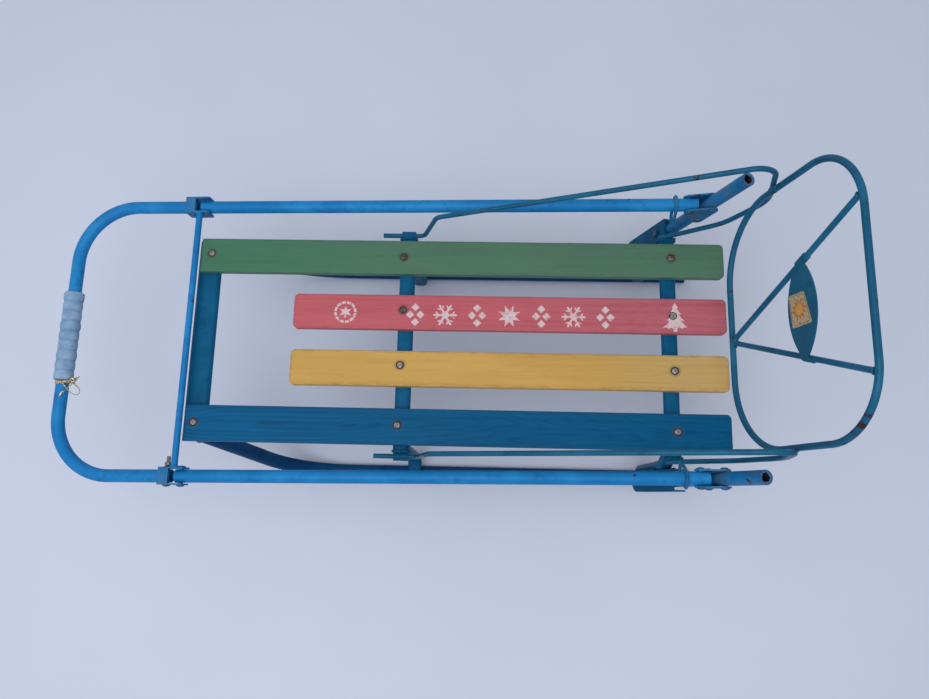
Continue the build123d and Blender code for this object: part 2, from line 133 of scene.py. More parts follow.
class Tree:
    """One node tree, of a material, of the world or of geometry."""

    def __init__(self, tree: bpy.types.NodeTree) -> None:
        """Keep the tree and empty it."""
        self.tree = tree
        tree.nodes.clear()

    def add(
        self,
        kind: str,
        settings: dict[str, object] | None = None,
        sockets: dict[str | int, object] | None = None,
        out: str | int = 0,
    ) -> "Wire":
        """Add any node.

        Args:
            kind: The node's type.
            settings: Its properties, which are set first.
            sockets: Values or wires of its inputs, by name or number.
            out: The output that is used.

        Returns:
            That output.
        """
        node = self.tree.nodes.new(kind)
        for key, value in (settings or {}).items():
            setattr(node, key, value)
        for key, value in (sockets or {}).items():
            socket = node.inputs[key]
            if isinstance(value, Wire):
                self.tree.links.new(value.socket, socket)
            elif socket.type == "RGBA":
                socket.default_value = (*value, 1.0)
            else:
                socket.default_value = value
        return Wire(self, node.outputs[out] if node.outputs else None)


def maths_node(operation: str, swapped: bool = False) -> Callable[..., "Wire"]:
    """Make an operator of a wire, which adds a Math node.

    Args:
        operation: The Math node's operation.
        swapped: Whether the wire is the second value.

    Returns:
        The method.
    """
    def method(wire: "Wire", other: object = 0.0) -> "Wire":
        """Add the Math node."""
        first, second = (other, wire) if swapped else (wire, other)
        return wire.tree.add("ShaderNodeMath", {"operation": operation}, {0: first, 1: second})

    return method


class Wire:
    """One output of a node, which takes part in plain arithmetic."""

    __add__ = maths_node("ADD")
    __radd__ = maths_node("ADD", swapped=True)
    __sub__ = maths_node("SUBTRACT")
    __rsub__ = maths_node("SUBTRACT", swapped=True)
    __mul__ = maths_node("MULTIPLY")
    __rmul__ = maths_node("MULTIPLY", swapped=True)
    __truediv__ = maths_node("DIVIDE")
    __rtruediv__ = maths_node("DIVIDE", swapped=True)
    __pow__ = maths_node("POWER")
    __rpow__ = maths_node("POWER", swapped=True)
    __abs__ = maths_node("ABSOLUTE")
    least = maths_node("MINIMUM")
    most = maths_node("MAXIMUM")
    wave = maths_node("SINE")

    def __init__(self, tree: Tree, socket: bpy.types.NodeSocket | None) -> None:
        """Keep the tree and the socket."""
        self.tree = tree
        self.socket = socket


class Sheet(Tree):
    """One material's node tree."""

    def __init__(self, name: str) -> None:
        """Start an empty material.

        Args:
            name: The material's name.
        """
        self.material = bpy.data.materials.new(name)
        self.material.use_nodes = True
        super().__init__(self.material.node_tree)
        self._places: dict[str, Wire] = {}

    def place(self) -> Wire:
        """Find the point's place in the object.

        Returns:
            The place in metres.
        """
        if "place" not in self._places:
            self._places["place"] = self.add("ShaderNodeTexCoord", out="Object")
        return self._places["place"]

    def axis(self, letter: str) -> Wire:
        """Give one coordinate of the place.

        Args:
            letter: X, Y or Z.

        Returns:
            The coordinate in metres.
        """
        if letter not in self._places:
            node = self.add("ShaderNodeSeparateXYZ", sockets={0: self.place()}).socket.node
            for name in "XYZ":
                self._places[name] = Wire(self, node.outputs[name])
        return self._places[letter]

    def vectors(
        self, operation: str, first: object, second: object = (0.0, 0.0, 0.0),
        out: str = "Vector",
    ) -> Wire:
        """Add one Vector Math node.

        Args:
            operation: The node's operation.
            first: A wire or a vector.
            second: A wire or a vector.
            out: The output that is used.

        Returns:
            That output.
        """
        sockets = {0: first} if operation == "LENGTH" else {0: first, 1: second}
        return self.add("ShaderNodeVectorMath", {"operation": operation}, sockets, out)

    def clamp(self, value: Wire) -> Wire:
        """Keep a value between 0 and 1."""
        return self.add("ShaderNodeClamp", {}, {"Value": value})

    def noise(self, vector: Wire, scale: float, detail: float = 3.0, rough: float = 0.55) -> Wire:
        """Add a noise pattern.

        Args:
            vector: Where it is read.
            scale: Patches to the metre of the vector.
            detail: Octaves.
            rough: Share of the fine octaves.

        Returns:
            A value from 0 to 1, mostly near 0.5.
        """
        sockets = {"Vector": vector, "Scale": scale, "Detail": detail, "Roughness": rough}
        return self.add("ShaderNodeTexNoise", {"noise_dimensions": "3D"}, sockets)

    def drawn_out(
        self, scales: Point, detail: float = 3.0, rough: float = 0.55,
        shift: Point = (0.0, 0.0, 0.0),
    ) -> Wire:
        """Add a noise pattern with another scale along each axis.

        Args:
            scales: Patches to the metre along x, y and z.
            detail: Octaves.
            rough: Share of the fine octaves.
            shift: Added to the scaled place.

        Returns:
            A value from 0 to 1, mostly near 0.5.
        """
        sockets = {"Vector": self.place(), "Scale": scales, "Location": shift}
        mapped = self.add("ShaderNodeMapping", {"vector_type": "POINT"}, sockets)
        return self.noise(mapped, 1.0, detail, rough)

    def cells(self, vector: Wire, scale: float) -> Wire:
        """Add a pattern of cells and give the distance to the nearest centre."""
        sockets = {"Vector": vector, "Scale": scale}
        return self.add("ShaderNodeTexVoronoi", {"feature": "F1"}, sockets, "Distance")

    def band(self, value: Wire, low: float, high: float) -> Wire:
        """Rise smoothly from 0 at low to 1 at high, or fall where high is less.

        Args:
            value: What is measured.
            low: Where the mask is 0.
            high: Where the mask is 1.

        Returns:
            The mask.
        """
        falling = float(high < low)
        settings = {"interpolation_type": "SMOOTHSTEP", "clamp": True}
        return self.add("ShaderNodeMapRange", settings, {
            "Value": value, "From Min": min(low, high), "From Max": max(low, high),
            "To Min": falling, "To Max": 1.0 - falling,
        })

    def mix(self, share: object, first: object, second: object) -> Wire:
        """Mix two colours.

        Args:
            share: 0 for the first, 1 for the second.
            first: A colour or a wire.
            second: A colour or a wire.

        Returns:
            The mixed colour.
        """
        settings = {"data_type": "RGBA", "blend_type": "MIX", "clamp_factor": True}
        return self.add("ShaderNodeMix", settings, {0: share, 6: first, 7: second}, 2)

    def bumps(self, height: Wire, distance: float) -> Wire:
        """Turn a height from 0 to 1 into a normal.

        Args:
            height: The pattern.
            distance: Height of 1, in metres.

        Returns:
            The normal.
        """
        sockets = {"Height": height, "Distance": distance, "Strength": 1.0}
        return self.add("ShaderNodeBump", {}, sockets)

    def close(
        self, base: object, roughness: object, normal: Wire | None = None,
        metallic: object = 0.0, specular: float = 0.5,
    ) -> bpy.types.Material:
        """Finish the material with one Principled shader.

        Args:
            base: Base colour, a colour or a wire.
            roughness: A number or a wire.
            normal: The bumped normal, where there is one.
            metallic: A number or a wire.
            specular: Specular level, a number.

        Returns:
            The material.
        """
        sockets: dict[str | int, object] = {
            "Base Color": base, "Roughness": roughness, "Metallic": metallic,
            "Specular IOR Level": specular,
        }
        if normal is not None:
            sockets["Normal"] = normal
        shader = self.add("ShaderNodeBsdfPrincipled", {}, sockets)
        self.add("ShaderNodeOutputMaterial", {}, {"Surface": shader})
        return self.material


# Finishes


@dataclass(frozen=True)
class Bore:
    """Inside of an open tube, the same on both sides of the sled."""

    origin: Point
    way: Point
    radius: float
    blur: float = 0.0003

    def mask(self, sheet: Sheet) -> Wire:
        """Give 1 inside the tube.

        Args:
            sheet: The material that is being made.

        Returns:
            The mask.
        """
        folded = sheet.add(
            "ShaderNodeCombineXYZ",
            sockets={0: sheet.axis("X"), 1: abs(sheet.axis("Y")), 2: sheet.axis("Z")},
        )
        from_origin = sheet.vectors("SUBTRACT", folded, self.origin)
        way = tuple(Vector(self.way).normalized())
        square = sheet.vectors("CROSS_PRODUCT", from_origin, way)
        distance = sheet.vectors("LENGTH", square, out="Value")
        return sheet.band(distance, self.radius + self.blur, self.radius - self.blur)


@dataclass(frozen=True)
class Spot:
    """One bare or worn place on a painted piece."""

    place: Point
    radius: float
    core: float = 0.7

    def mask(self, sheet: Sheet, ragged: Wire) -> Wire:
        """Give 1 on the spot.

        Args:
            sheet: The material that is being made.
            ragged: Noise that breaks up the rim.

        Returns:
            The mask.
        """
        distance = sheet.vectors("DISTANCE", sheet.place(), self.place, out="Value")
        distance = distance + (ragged - 0.5) * self.radius
        return sheet.band(distance, self.radius, self.radius * self.core)


@dataclass(frozen=True)
class StainedWood:
    """Stained board with growth rings, fibres, worn edges and marks round its screws."""

    name: str
    colour: Colour
    deep: Colour
    bare: Colour
    low: Point
    high: Point
    screws: tuple[Pair, ...]
    wear: float = 0.5
    wear_depth: float = 0.0014
    rings: float = 0.35
    ring_width: float = 0.0042
    depth: float = 0.020
    slope: float = 0.05
    streaks: float = 0.35
    dirt: float = 0.25
    soot: Colour = (0.05, 0.045, 0.04)
    mark_rim: float = 0.0092
    mark_core: float = 0.0052
    roughness: float = 0.46
    relief: float = 0.00022
    shine: float = 0.17
    shift: Point = (0.0, 0.0, 0.0)
    end_colour: Colour | None = None
    end_from: float = 0.0
    end_full: float = 0.2

    def grain(self, sheet: Sheet) -> tuple[Wire, Wire, Wire]:
        """Lay out the growth rings, the fibres and the broad streaks.

        Args:
            sheet: The material that is being made.

        Returns:
            The three patterns, each from 0 to 1.
        """
        across = sheet.axis("Y") - (self.low[1] + self.high[1]) / 2
        wander = sheet.drawn_out((5.0, 26.0, 26.0), 2.0, shift=self.shift)
        below = sheet.axis("X") * self.slope + self.depth + (wander - 0.5) * 0.045
        radius = (across * across + below * below) ** 0.5
        ring = (radius * (TURN / self.ring_width)).wave()
        fibre = sheet.drawn_out((22.0, 900.0, 900.0), 4.0, 0.65, self.shift)
        streak = sheet.drawn_out((4.0, 190.0, 190.0), 3.0, 0.6, self.shift)
        return sheet.band(ring, 0.0, 1.0), fibre, streak

    def edge(self, sheet: Sheet) -> Wire:
        """Give the distance from the nearest upper edge or corner of the board.

        Args:
            sheet: The material that is being made.

        Returns:
            The distance in metres.
        """
        middle = [(a + b) / 2 for a, b in zip(self.low, self.high)]
        half = [(b - a) / 2 for a, b in zip(self.low, self.high)]
        along = half[0] - abs(sheet.axis("X") - middle[0])
        across = half[1] - abs(sheet.axis("Y") - middle[1])
        return (self.high[2] - sheet.axis("Z")).most(along.least(across))

    def make(self) -> bpy.types.Material:
        """Build the material.

        Returns:
            The material.
        """
        sheet = Sheet(self.name)
        ring, fibre, streak = self.grain(sheet)
        patches = sheet.drawn_out((7.0, 22.0, 22.0), 4.0, shift=self.shift)
        rough_edge = sheet.drawn_out((60.0, 420.0, 420.0), 4.0, shift=self.shift)
        stain: object = self.colour
        if self.end_colour:
            along = sheet.axis("X") + (patches - 0.5) * 0.10
            turned = sheet.band(along, self.end_from, self.end_full)
            stain = sheet.mix(turned, self.colour, self.end_colour)
        late = ring * self.rings + sheet.band(streak, 0.42, 0.66) * self.streaks
        base = sheet.mix(late, stain, self.deep)
        base = sheet.mix(sheet.band(fibre, 0.60, 0.78) * 0.5, base, self.deep)
        base = sheet.mix(sheet.band(patches, 0.40, 0.70) * 0.22, base, toned(self.colour, 1.35))
        end = self.edge(sheet) + (rough_edge - 0.5) * (self.wear_depth * 1.6)
        soiled = sheet.band(end, self.wear_depth * 3.4, self.wear_depth * 0.6)
        grime = sheet.drawn_out((90.0, 260.0, 260.0), 5.0, 0.7)
        base = sheet.mix(soiled * sheet.band(grime, 0.42, 0.62) * self.dirt, base, self.soot)
        specks = sheet.band(sheet.drawn_out((150.0, 520.0, 520.0)), 0.70, 0.76)
        base = sheet.mix(specks * self.dirt, base, self.soot)
        worn = sheet.band(end, self.wear_depth, 0.0) * self.wear
        base = sheet.mix(worn, base, self.bare)
        for x, y in self.screws:
            aside = sheet.axis("Y") - y
            along = sheet.axis("X") - x
            distance = (aside * aside + along * along) ** 0.5 + (grime - 0.5) * 0.004
            mark = sheet.band(distance, self.mark_rim, self.mark_core)
            base = sheet.mix(mark * 0.4, base, self.soot)
        rough = fibre * 0.25 + worn * 0.25 + self.roughness - 0.12
        height = fibre * 0.55 + ring * 0.25 + streak * 0.3 - worn * 0.3
        normal = sheet.bumps(height, self.relief)
        return sheet.close(base, sheet.clamp(rough), normal, specular=self.shine)


@dataclass(frozen=True)
class Enamel:
    """Paint on steel: mottled, a little uneven, chipped and rusty where it is worn."""

    name: str
    colour: Colour
    pale: Colour
    dark: Colour
    roughness: float = 0.33
    peel: float = 0.00006
    peel_size: float = 420.0
    chips: float = 0.68
    shine: float = 0.13
    spots: tuple[Spot, ...] = ()
    bores: tuple[Bore, ...] = ()
    dust: float = 0.0
    dust_tone: Colour = (0.105, 0.125, 0.145)
    rust: Colour = (0.048, 0.026, 0.019)
    rust_dark: Colour = (0.018, 0.013, 0.012)

    def make(self) -> bpy.types.Material:
        """Build the material.

        Returns:
            The material.
        """
        sheet = Sheet(self.name)
        place = sheet.place()
        cloud = sheet.noise(place, 16.0, 4.0)
        brush = sheet.noise(place, 85.0, 4.0, 0.6)
        peel = sheet.noise(place, self.peel_size, 2.0)
        grit = sheet.noise(place, 950.0, 2.0)
        flaw = sheet.noise(place, 62.0, 5.0, 0.62)
        base = sheet.mix(sheet.band(cloud, 0.38, 0.66), self.colour, self.pale)
        base = sheet.mix(sheet.band(brush, 0.50, 0.74) * 0.55, base, self.dark)
        base = sheet.mix(sheet.band(grit, 0.64, 0.80) * 0.22, base, self.dark)
        scuff = sheet.band(abs(sheet.drawn_out((38.0, 160.0, 95.0)) - 0.5), 0.014, 0.0)
        scuff = scuff * sheet.band(cloud, 0.50, 0.64)
        base = sheet.mix(scuff * 0.14, base, toned(self.pale, 1.6, 0.03))
        if self.dust:
            film = sheet.band(sheet.noise(place, 34.0, 5.0, 0.65), 0.40, 0.68)
            base = sheet.mix(film * self.dust, base, self.dust_tone)
        chip = sheet.band(flaw, self.chips, self.chips + 0.03)
        for spot in self.spots:
            chip = spot.mask(sheet, flaw).most(chip)
        inside: object = 0.0
        for bore in self.bores:
            inside = bore.mask(sheet).most(inside)
        rust_tone = sheet.mix(sheet.band(brush, 0.40, 0.62), self.rust_dark, self.rust)
        halo = sheet.band(flaw, self.chips - 0.035, self.chips)
        base = sheet.mix(halo * 0.35, base, self.rust_dark)
        base = sheet.mix(chip, base, rust_tone)
        if self.bores:
            deep = toned(self.rust_dark, 0.55)
            base = sheet.mix(inside, base, sheet.mix(sheet.band(brush, 0.4, 0.7), deep, self.rust))
            chip = chip.most(inside)
        rough = (brush - 0.5) * 0.22 + chip * 0.45 + self.roughness
        normal = sheet.bumps(peel * 0.6 + brush * 0.5 - chip * 0.8, self.peel * 2.5)
        return sheet.close(base, sheet.clamp(rough), normal, specular=self.shine)


@dataclass(frozen=True)
class Rusted:
    """Bare steel gone brown, with remains of paint."""

    name: str
    dark: Colour
    light: Colour
    paint: Colour
    paint_share: float = 0.5
    metal: float = 0.25

    def make(self) -> bpy.types.Material:
        """Build the material.

        Returns:
            The material.
        """
        sheet = Sheet(self.name)
        place = sheet.place()
        broad = sheet.noise(place, 190.0, 4.0, 0.62)
        fine = sheet.noise(place, 1100.0, 3.0)
        tone = sheet.mix(sheet.band(broad + (fine - 0.5) * 0.3, 0.36, 0.62), self.dark, self.light)
        kept = sheet.band(sheet.noise(place, 130.0, 4.0), self.paint_share + 0.04, self.paint_share)
        tone = sheet.mix(kept, tone, self.paint)
        rough = 0.72 - kept * 0.3 + (fine - 0.5) * 0.2
        normal = sheet.bumps(fine * 0.6 + broad - kept * 0.2, 0.00012)
        return sheet.close(tone, sheet.clamp(rough), normal, (1.0 - kept) * self.metal, 0.35)


@dataclass(frozen=True)
class SoftFoam:
    """Pale closed-cell foam, with painted shade in its grooves and soiled in patches."""

    name: str = "soft_foam"
    colour: Colour = (0.180, 0.310, 0.480)
    pale: Colour = (0.270, 0.390, 0.560)
    shade_and_soil: Colour = (0.105, 0.205, 0.380)
    axis_place: Point = (0.4328, 0.0, 0.2107)
    crest: float = 0.0117
    foot: float = 0.0107

    def make(self) -> bpy.types.Material:
        """Build the material.

        Returns:
            The material.
        """
        sheet = Sheet(self.name)
        place = sheet.place()
        aside = sheet.axis("X") - self.axis_place[0]
        above = sheet.axis("Z") - self.axis_place[2]
        radius = (aside * aside + above * above) ** 0.5
        patches = sheet.noise(place, 55.0, 4.0)
        cells = sheet.cells(place, 1250.0)
        base = sheet.mix(sheet.band(patches, 0.36, 0.66), self.colour, self.pale)
        # Painted shade: darker from the crest of the lobes down into the grooves.
        low = sheet.band(radius + (patches - 0.5) * 0.0008, self.crest, self.foot)
        base = sheet.mix(low * 0.55, base, self.shade_and_soil)
        # Soil: darker patches at random, in the same colour.
        soil = sheet.band(sheet.noise(place, 95.0, 5.0, 0.7), 0.50, 0.66)
        base = sheet.mix(soil * 0.55, base, self.shade_and_soil)
        normal = sheet.bumps(cells * 0.7 + patches, 0.00016)
        return sheet.close(base, 0.82, normal, specular=0.25)


@dataclass(frozen=True)
class Print:
    """Thin screen-printed ink, rubbed off in places to the colour beneath."""

    name: str
    ink: Colour
    beneath: Colour
    rubbed: float = 0.62
    scale: float = 210.0
    roughness: float = 0.5

    def make(self) -> bpy.types.Material:
        """Build the material.

        Returns:
            The material.
        """
        sheet = Sheet(self.name)
        fibre = sheet.drawn_out((30.0, 700.0, 700.0), 4.0, 0.6)
        patches = sheet.noise(sheet.place(), self.scale, 5.0, 0.6)
        uneven = fibre * 0.45 + patches * 0.55
        gone = sheet.band(uneven, self.rubbed - 0.05, self.rubbed + 0.04)
        faded = sheet.band(patches, 0.35, 0.60) * 0.4
        base = sheet.mix(gone, sheet.mix(faded, self.ink, toned(self.ink, 0.72)), self.beneath)
        rough = patches * 0.3 + self.roughness - 0.1
        normal = sheet.bumps(uneven - gone * 0.4, 0.00008)
        return sheet.close(base, sheet.clamp(rough), normal, specular=0.3)


@dataclass(frozen=True)
class BrassWire:
    """Yellow wire, dull and a little tarnished."""

    name: str = "brass_wire"
    bright: Colour = (0.50, 0.42, 0.29)
    dull: Colour = (0.17, 0.115, 0.055)
    metal: float = 0.55

    def make(self) -> bpy.types.Material:
        """Build the material.

        Returns:
            The material.
        """
        sheet = Sheet(self.name)
        tarnish = sheet.noise(sheet.place(), 420.0, 4.0, 0.6)
        share = sheet.band(tarnish, 0.42, 0.62)
        base = sheet.mix(share, self.bright, self.dull)
        return sheet.close(base, share * 0.35 + 0.3, sheet.bumps(tarnish, 0.00006), self.metal)


# Shapes


def angles(count: int, points: int | None = None) -> list[float]:
    """Give evenly spread angles.

    Args:
        count: Steps to a full turn.
        points: How many angles, where it isn't the same.

    Returns:
        The angles, from 0.
    """
    return [TURN * k / count for k in range(points or count)]


def spun(outline: Sequence[Pair], angle: float) -> Outline:
    """Turn an outline round the middle."""
    c, s = math.cos(angle), math.sin(angle)
    return [(a * c - b * s, a * s + b * c) for a, b in outline]


def threads(low: float, turns: int, pitch: float, first: float, second: float) -> Outline:
    """Give the profile of a screw thread.

    Args:
        low: Where it starts.
        turns: Its turns.
        pitch: Height of a turn.
        first: Radius at the start of a turn.
        second: Radius halfway up a turn.

    Returns:
        Radius and height of each ring.
    """
    profile = []
    for turn in range(turns):
        start = low + turn * pitch
        profile += [(first, start), (second, start + pitch / 2)]
    return profile


def oval_loop(
    centre: Point, long_way: Point, short_way: Point, width: float, height: float, steps: int = 8
) -> list[Vector]:
    """Give points round a flat oval.

    Args:
        centre: Its middle.
        long_way: Direction of its width.
        short_way: Direction of its height.
        width: The longer size.
        height: The shorter size.
        steps: Points to each rounded end.

    Returns:
        The points in order.
    """
    radius, flat = height / 2, (width - height) / 2
    points = []
    for end, start in ((1, 0.0), (-1, math.pi)):
        for k in range(steps + 1):
            angle = math.pi * (k / steps - 0.5) + start
            points.append(
                Vector(centre) + Vector(long_way) * (end * flat + radius * math.cos(angle))
                + Vector(short_way) * (radius * math.sin(angle))
            )
    return points


def curved(points: Sequence[Point], steps: int) -> list[Vector]:
    """Round off a path through its points.

    Args:
        points: The points.
        steps: Points to each span.

    Returns:
        The smooth path.
    """
    given = [Vector(point) for point in points]
    padded = [given[0], *given, given[-1]]
    path: list[Vector] = []
    for k in range(1, len(padded) - 2):
        a, b, c, d = padded[k - 1:k + 3]
        for step in range(steps):
            t = step / steps
            path.append(0.5 * (
                2 * b + (c - a) * t + (2 * a - 5 * b + 4 * c - d) * t ** 2
                + (3 * b - a - 3 * c + d) * t ** 3
            ))
    path.append(given[-1])
    return path


class Shape:
    """Vertices and faces that grow into one mesh."""

    def __init__(self) -> None:
        """Start empty."""
        self.vertices: list[Vector] = []
        self.faces: list[tuple[int, ...]] = []

    def skin(
        self, rings: Sequence[Sequence[Vector]], joined: bool = False, capped: bool = True
    ) -> None:
        """Skin rings of the same number of points, one after another.

        Args:
            rings: The rings.
            joined: Whether the last ring meets the first.
            capped: Whether the two ends are closed.
        """
        start = len(self.vertices)
        count = len(rings[0])
        for ring in rings:
            self.vertices.extend(Vector(point) for point in ring)
        spans = len(rings) if joined else len(rings) - 1
        for span in range(spans):
            here = start + span * count
            there = start + ((span + 1) % len(rings)) * count
            for k in range(count):
                after = (k + 1) % count
                self.faces.append((here + k, here + after, there + after, there + k))
        if capped and not joined:
            last = start + (len(rings) - 1) * count
            self.faces.append(tuple(start + k for k in reversed(range(count))))
            self.faces.append(tuple(last + k for k in range(count)))

    def turned(self, profile: Sequence[Pair], sides: int = 24) -> None:
        """Turn a profile round the z axis.

        Args:
            profile: Radius and height of each ring.
            sides: Points to a ring, where 6 gives a hexagon.
        """
        self.skin([
            [Vector((radius * math.cos(a), radius * math.sin(a), height)) for a in angles(sides)]
            for radius, height in profile
        ])

    def strip(self, path: Sequence[Vector], half: float, flat: float, twist: float = 0.0) -> None:
        """Run a flat strip with rounded edges along a path.

        Args:
            path: Its points.
            half: Half of its width.
            flat: Its thickness as a share of its width.
            twist: Turns from one end to the other.
        """
        rings = []
        side = FRONT
        for k, point in enumerate(path):
            before, after = path[max(k - 1, 0)], path[min(k + 1, len(path) - 1)]
            way = (after - before).normalized()
            side = side - way * side.dot(way)
            if side.length < 1e-4:
                side = way.orthogonal()
            side.normalize()
            turn = TURN * twist * k / len(path)
            thin = (side * math.cos(turn) + way.cross(side) * math.sin(turn)) * flat
            wide = way.cross(side) * math.cos(turn) - side * math.sin(turn)
            rings.append([
                point + half * (thin * math.cos(a) + wide * math.sin(a)) for a in angles(8)
            ])
        self.skin(rings)

    def slab(self, place: Matrix, outline: Sequence[Pair], thick: float) -> None:
        """Raise a flat outline.

        Args:
            place: The local frame, with the outline in its x and y.
            outline: The corners in order, anticlockwise.
            thick: Height along the local z.
        """
        self.skin([[place @ Vector((x, y, height)) for x, y in outline] for height in (0.0, thick)])

    def piece(
        self, name: str, material: bpy.types.Material, smooth_deg: float = 38.0
    ) -> bpy.types.Object:
        """Make the object.

        Args:
            name: Its name.
            material: Its material.
            smooth_deg: Edges sharper than this stay sharp.

        Returns:
            The object, at the origin.
        """
        mesh = bpy.data.meshes.new(name)
        mesh.from_pydata([tuple(v) for v in self.vertices], [], self.faces)
        solid = bmesh.new()
        solid.from_mesh(mesh)
        bmesh.ops.remove_doubles(solid, verts=solid.verts, dist=1e-7)
        bmesh.ops.recalc_face_normals(solid, faces=solid.faces)
        solid.to_mesh(mesh)
        solid.free()
        mesh.shade_smooth()
        mesh.set_sharp_from_angle(angle=math.radians(smooth_deg))
        mesh.materials.append(material)
        return placed(name, mesh)


def placed(name: str, data: bpy.types.ID) -> bpy.types.Object:
    """Put a mesh, a lamp or a camera in the scene.

    Args:
        name: The object's name.
        data: Its mesh, lamp or camera.

    Returns:
        The object, at the origin.
    """
    thing = bpy.data.objects.new(name, data)
    bpy.context.scene.collection.objects.link(thing)
    return thing


def domed_pin(half: float, shank: float, head: float, height: float) -> Shape:
    """Model a pin with two domed heads.

    Args:
        half: Half of the length between the heads.
        shank: Radius of the shank.
        head: Radius of the heads.
        height: Height of the heads.

    Returns:
        The shape, along its local z axis.
    """
    rim, rings, full_quarter = 0.0002, 8, 7.3
    dome = []
    for k in range(rings):
        angle = math.pi / 2 * k / full_quarter
        dome.append((head * math.cos(angle), half + rim + (height - rim) * math.sin(angle)))
    shape = Shape()
    upper = [(shank, 0.0), (shank, half), (head * 0.97, half), *dome]
    lower = [(radius, -place) for radius, place in reversed(upper[1:])]
    shape.turned(lower + upper)
    return shape


# Geometry Nodes


class Growth(Tree):
    """One geometry-node tree, with named inputs."""

    def __init__(self, name: str, **inputs: str) -> None:
        """Start the tree.

        Args:
            name: Its name.
            inputs: The socket type of each further input, by name.
        """
        super().__init__(bpy.data.node_groups.new(name, "GeometryNodeTree"))
        face = self.tree.interface
        for label, kind in {"Geometry": "Geometry", **inputs}.items():
            face.new_socket(label, in_out="INPUT", socket_type=f"NodeSocket{kind}")
        face.new_socket("Geometry", in_out="OUTPUT", socket_type="NodeSocketGeometry")
        self.given = self.tree.nodes.new("NodeGroupInput")

    def take(self, label: str) -> Wire:
        """Give one of the tree's inputs."""
        return Wire(self, self.given.outputs[label])

    def chance(self, low: object, high: object, seed: Wire) -> Wire:
        """Draw a number by chance for each point.

        Args:
            low: The least that it can be.
            high: The most that it can be.
            seed: What fixes the draw.

        Returns:
            The number.
        """
        sockets = {2: low, 3: high, "Seed": seed}
        return self.add("FunctionNodeRandomValue", {"data_type": "FLOAT"}, sockets, 1)

    def close(self, geometry: Wire) -> None:
        """Make the instances real, give them the material and end the tree.

        Args:
            geometry: What was grown.
        """
        real = self.add("GeometryNodeRealizeInstances", {}, {0: geometry})
        sockets = {"Geometry": real, "Material": self.take("Material")}
        self.add("NodeGroupOutput", {}, {0: self.add("GeometryNodeSetMaterial", {}, sockets)})

    def grow(
        self, name: str, mesh: bpy.types.Mesh, values: dict[str, object]
    ) -> bpy.types.Object:
        """Grow a plain mesh from a starting mesh.

        Args:
            name: Name of the piece.
            mesh: The points or lines to start from.
            values: The tree's inputs by name.

        Returns:
            The finished piece, with no modifier.
        """
        piece = placed(name, mesh)
        modifier = piece.modifiers.new(name, "NODES")
        modifier.node_group = self.tree
        for item in self.tree.interface.items_tree:
            if item.item_type == "SOCKET" and item.in_out == "INPUT" and item.name in values:
                modifier[item.identifier] = values[item.name]
        piece.update_tag()
        graph = bpy.context.evaluated_depsgraph_get()
        grown = bpy.data.meshes.new_from_object(piece.evaluated_get(graph))
        grown.name = name
        piece.modifiers.clear()
        piece.data = grown
        return piece


@dataclass(frozen=True)
class Stand:
    """Where one stamped piece stands, and where its top points."""

    place: Point
    aim: Point = tuple(FRONT)


@dataclass
class Stamps:
    """Copies of one small shape, each turned by chance round its own axis."""

    name: str
    shape: Shape
    stands: Sequence[Stand]
    material: bpy.types.Material
    body: Body
    slot: Slot
    stands_for: tuple[str, ...] = ()
    turn: float = math.pi
    spread: float = 0.0
    seed: int = 7
    smooth_deg: float = 38.0

    def tree(self) -> Growth:
        """Write the tree that stamps the shape on points.

        Returns:
            The tree.
        """
        growth = Growth(
            f"{self.name}_tree", Stamp="Object", Material="Material", Turn="Float",
            Spread="Float", Seed="Int",
        )
        turn, seed = growth.take("Turn"), growth.take("Seed")
        points = growth.add("GeometryNodeMeshToPoints", {}, {"Mesh": growth.take("Geometry")})
        stamp = growth.add(
            "GeometryNodeObjectInfo", {}, {"Object": growth.take("Stamp")}, "Geometry"
        )
        aim = growth.add(
            "GeometryNodeInputNamedAttribute", {"data_type": "FLOAT_VECTOR"}, {"Name": "aim"}
        )
        facing = growth.add("FunctionNodeAlignRotationToVector", {"axis": "Z"}, {"Vector": aim})
        spin = growth.add(
            "FunctionNodeAxisAngleToRotation", {},
            {"Axis": FRONT, "Angle": growth.chance(turn * -1.0, turn, seed)},
        )
        rotation = growth.add(
            "FunctionNodeRotateRotation", {"rotation_space": "LOCAL"},
            {"Rotation": facing, "Rotate By": spin},
        )
        size = growth.chance(1.0 - growth.take("Spread"), 1.0, seed + 1.0)
        growth.close(growth.add(
            "GeometryNodeInstanceOnPoints", {},
            {"Points": points, "Instance": stamp, "Rotation": rotation, "Scale": size},
        ))
        return growth

    def build(self) -> None:
        """Stamp the shape and hand the piece to its body."""
        stamp = self.shape.piece(f"{self.name}_stamp", self.material, self.smooth_deg)
        mesh = bpy.data.meshes.new(self.name)
        mesh.from_pydata([stand.place for stand in self.stands], [], [])
        aims = mesh.attributes.new("aim", "FLOAT_VECTOR", "POINT")
        for item, stand in zip(aims.data, self.stands):
            item.vector = Vector(stand.aim).normalized()
        piece = self.tree().grow(self.name, mesh, {
            "Stamp": stamp, "Material": self.material, "Turn": self.turn,
            "Spread": self.spread, "Seed": self.seed,
        })
        bpy.data.objects.remove(stamp)
        hand_over(piece, self.body, self.slot, *self.stands_for)


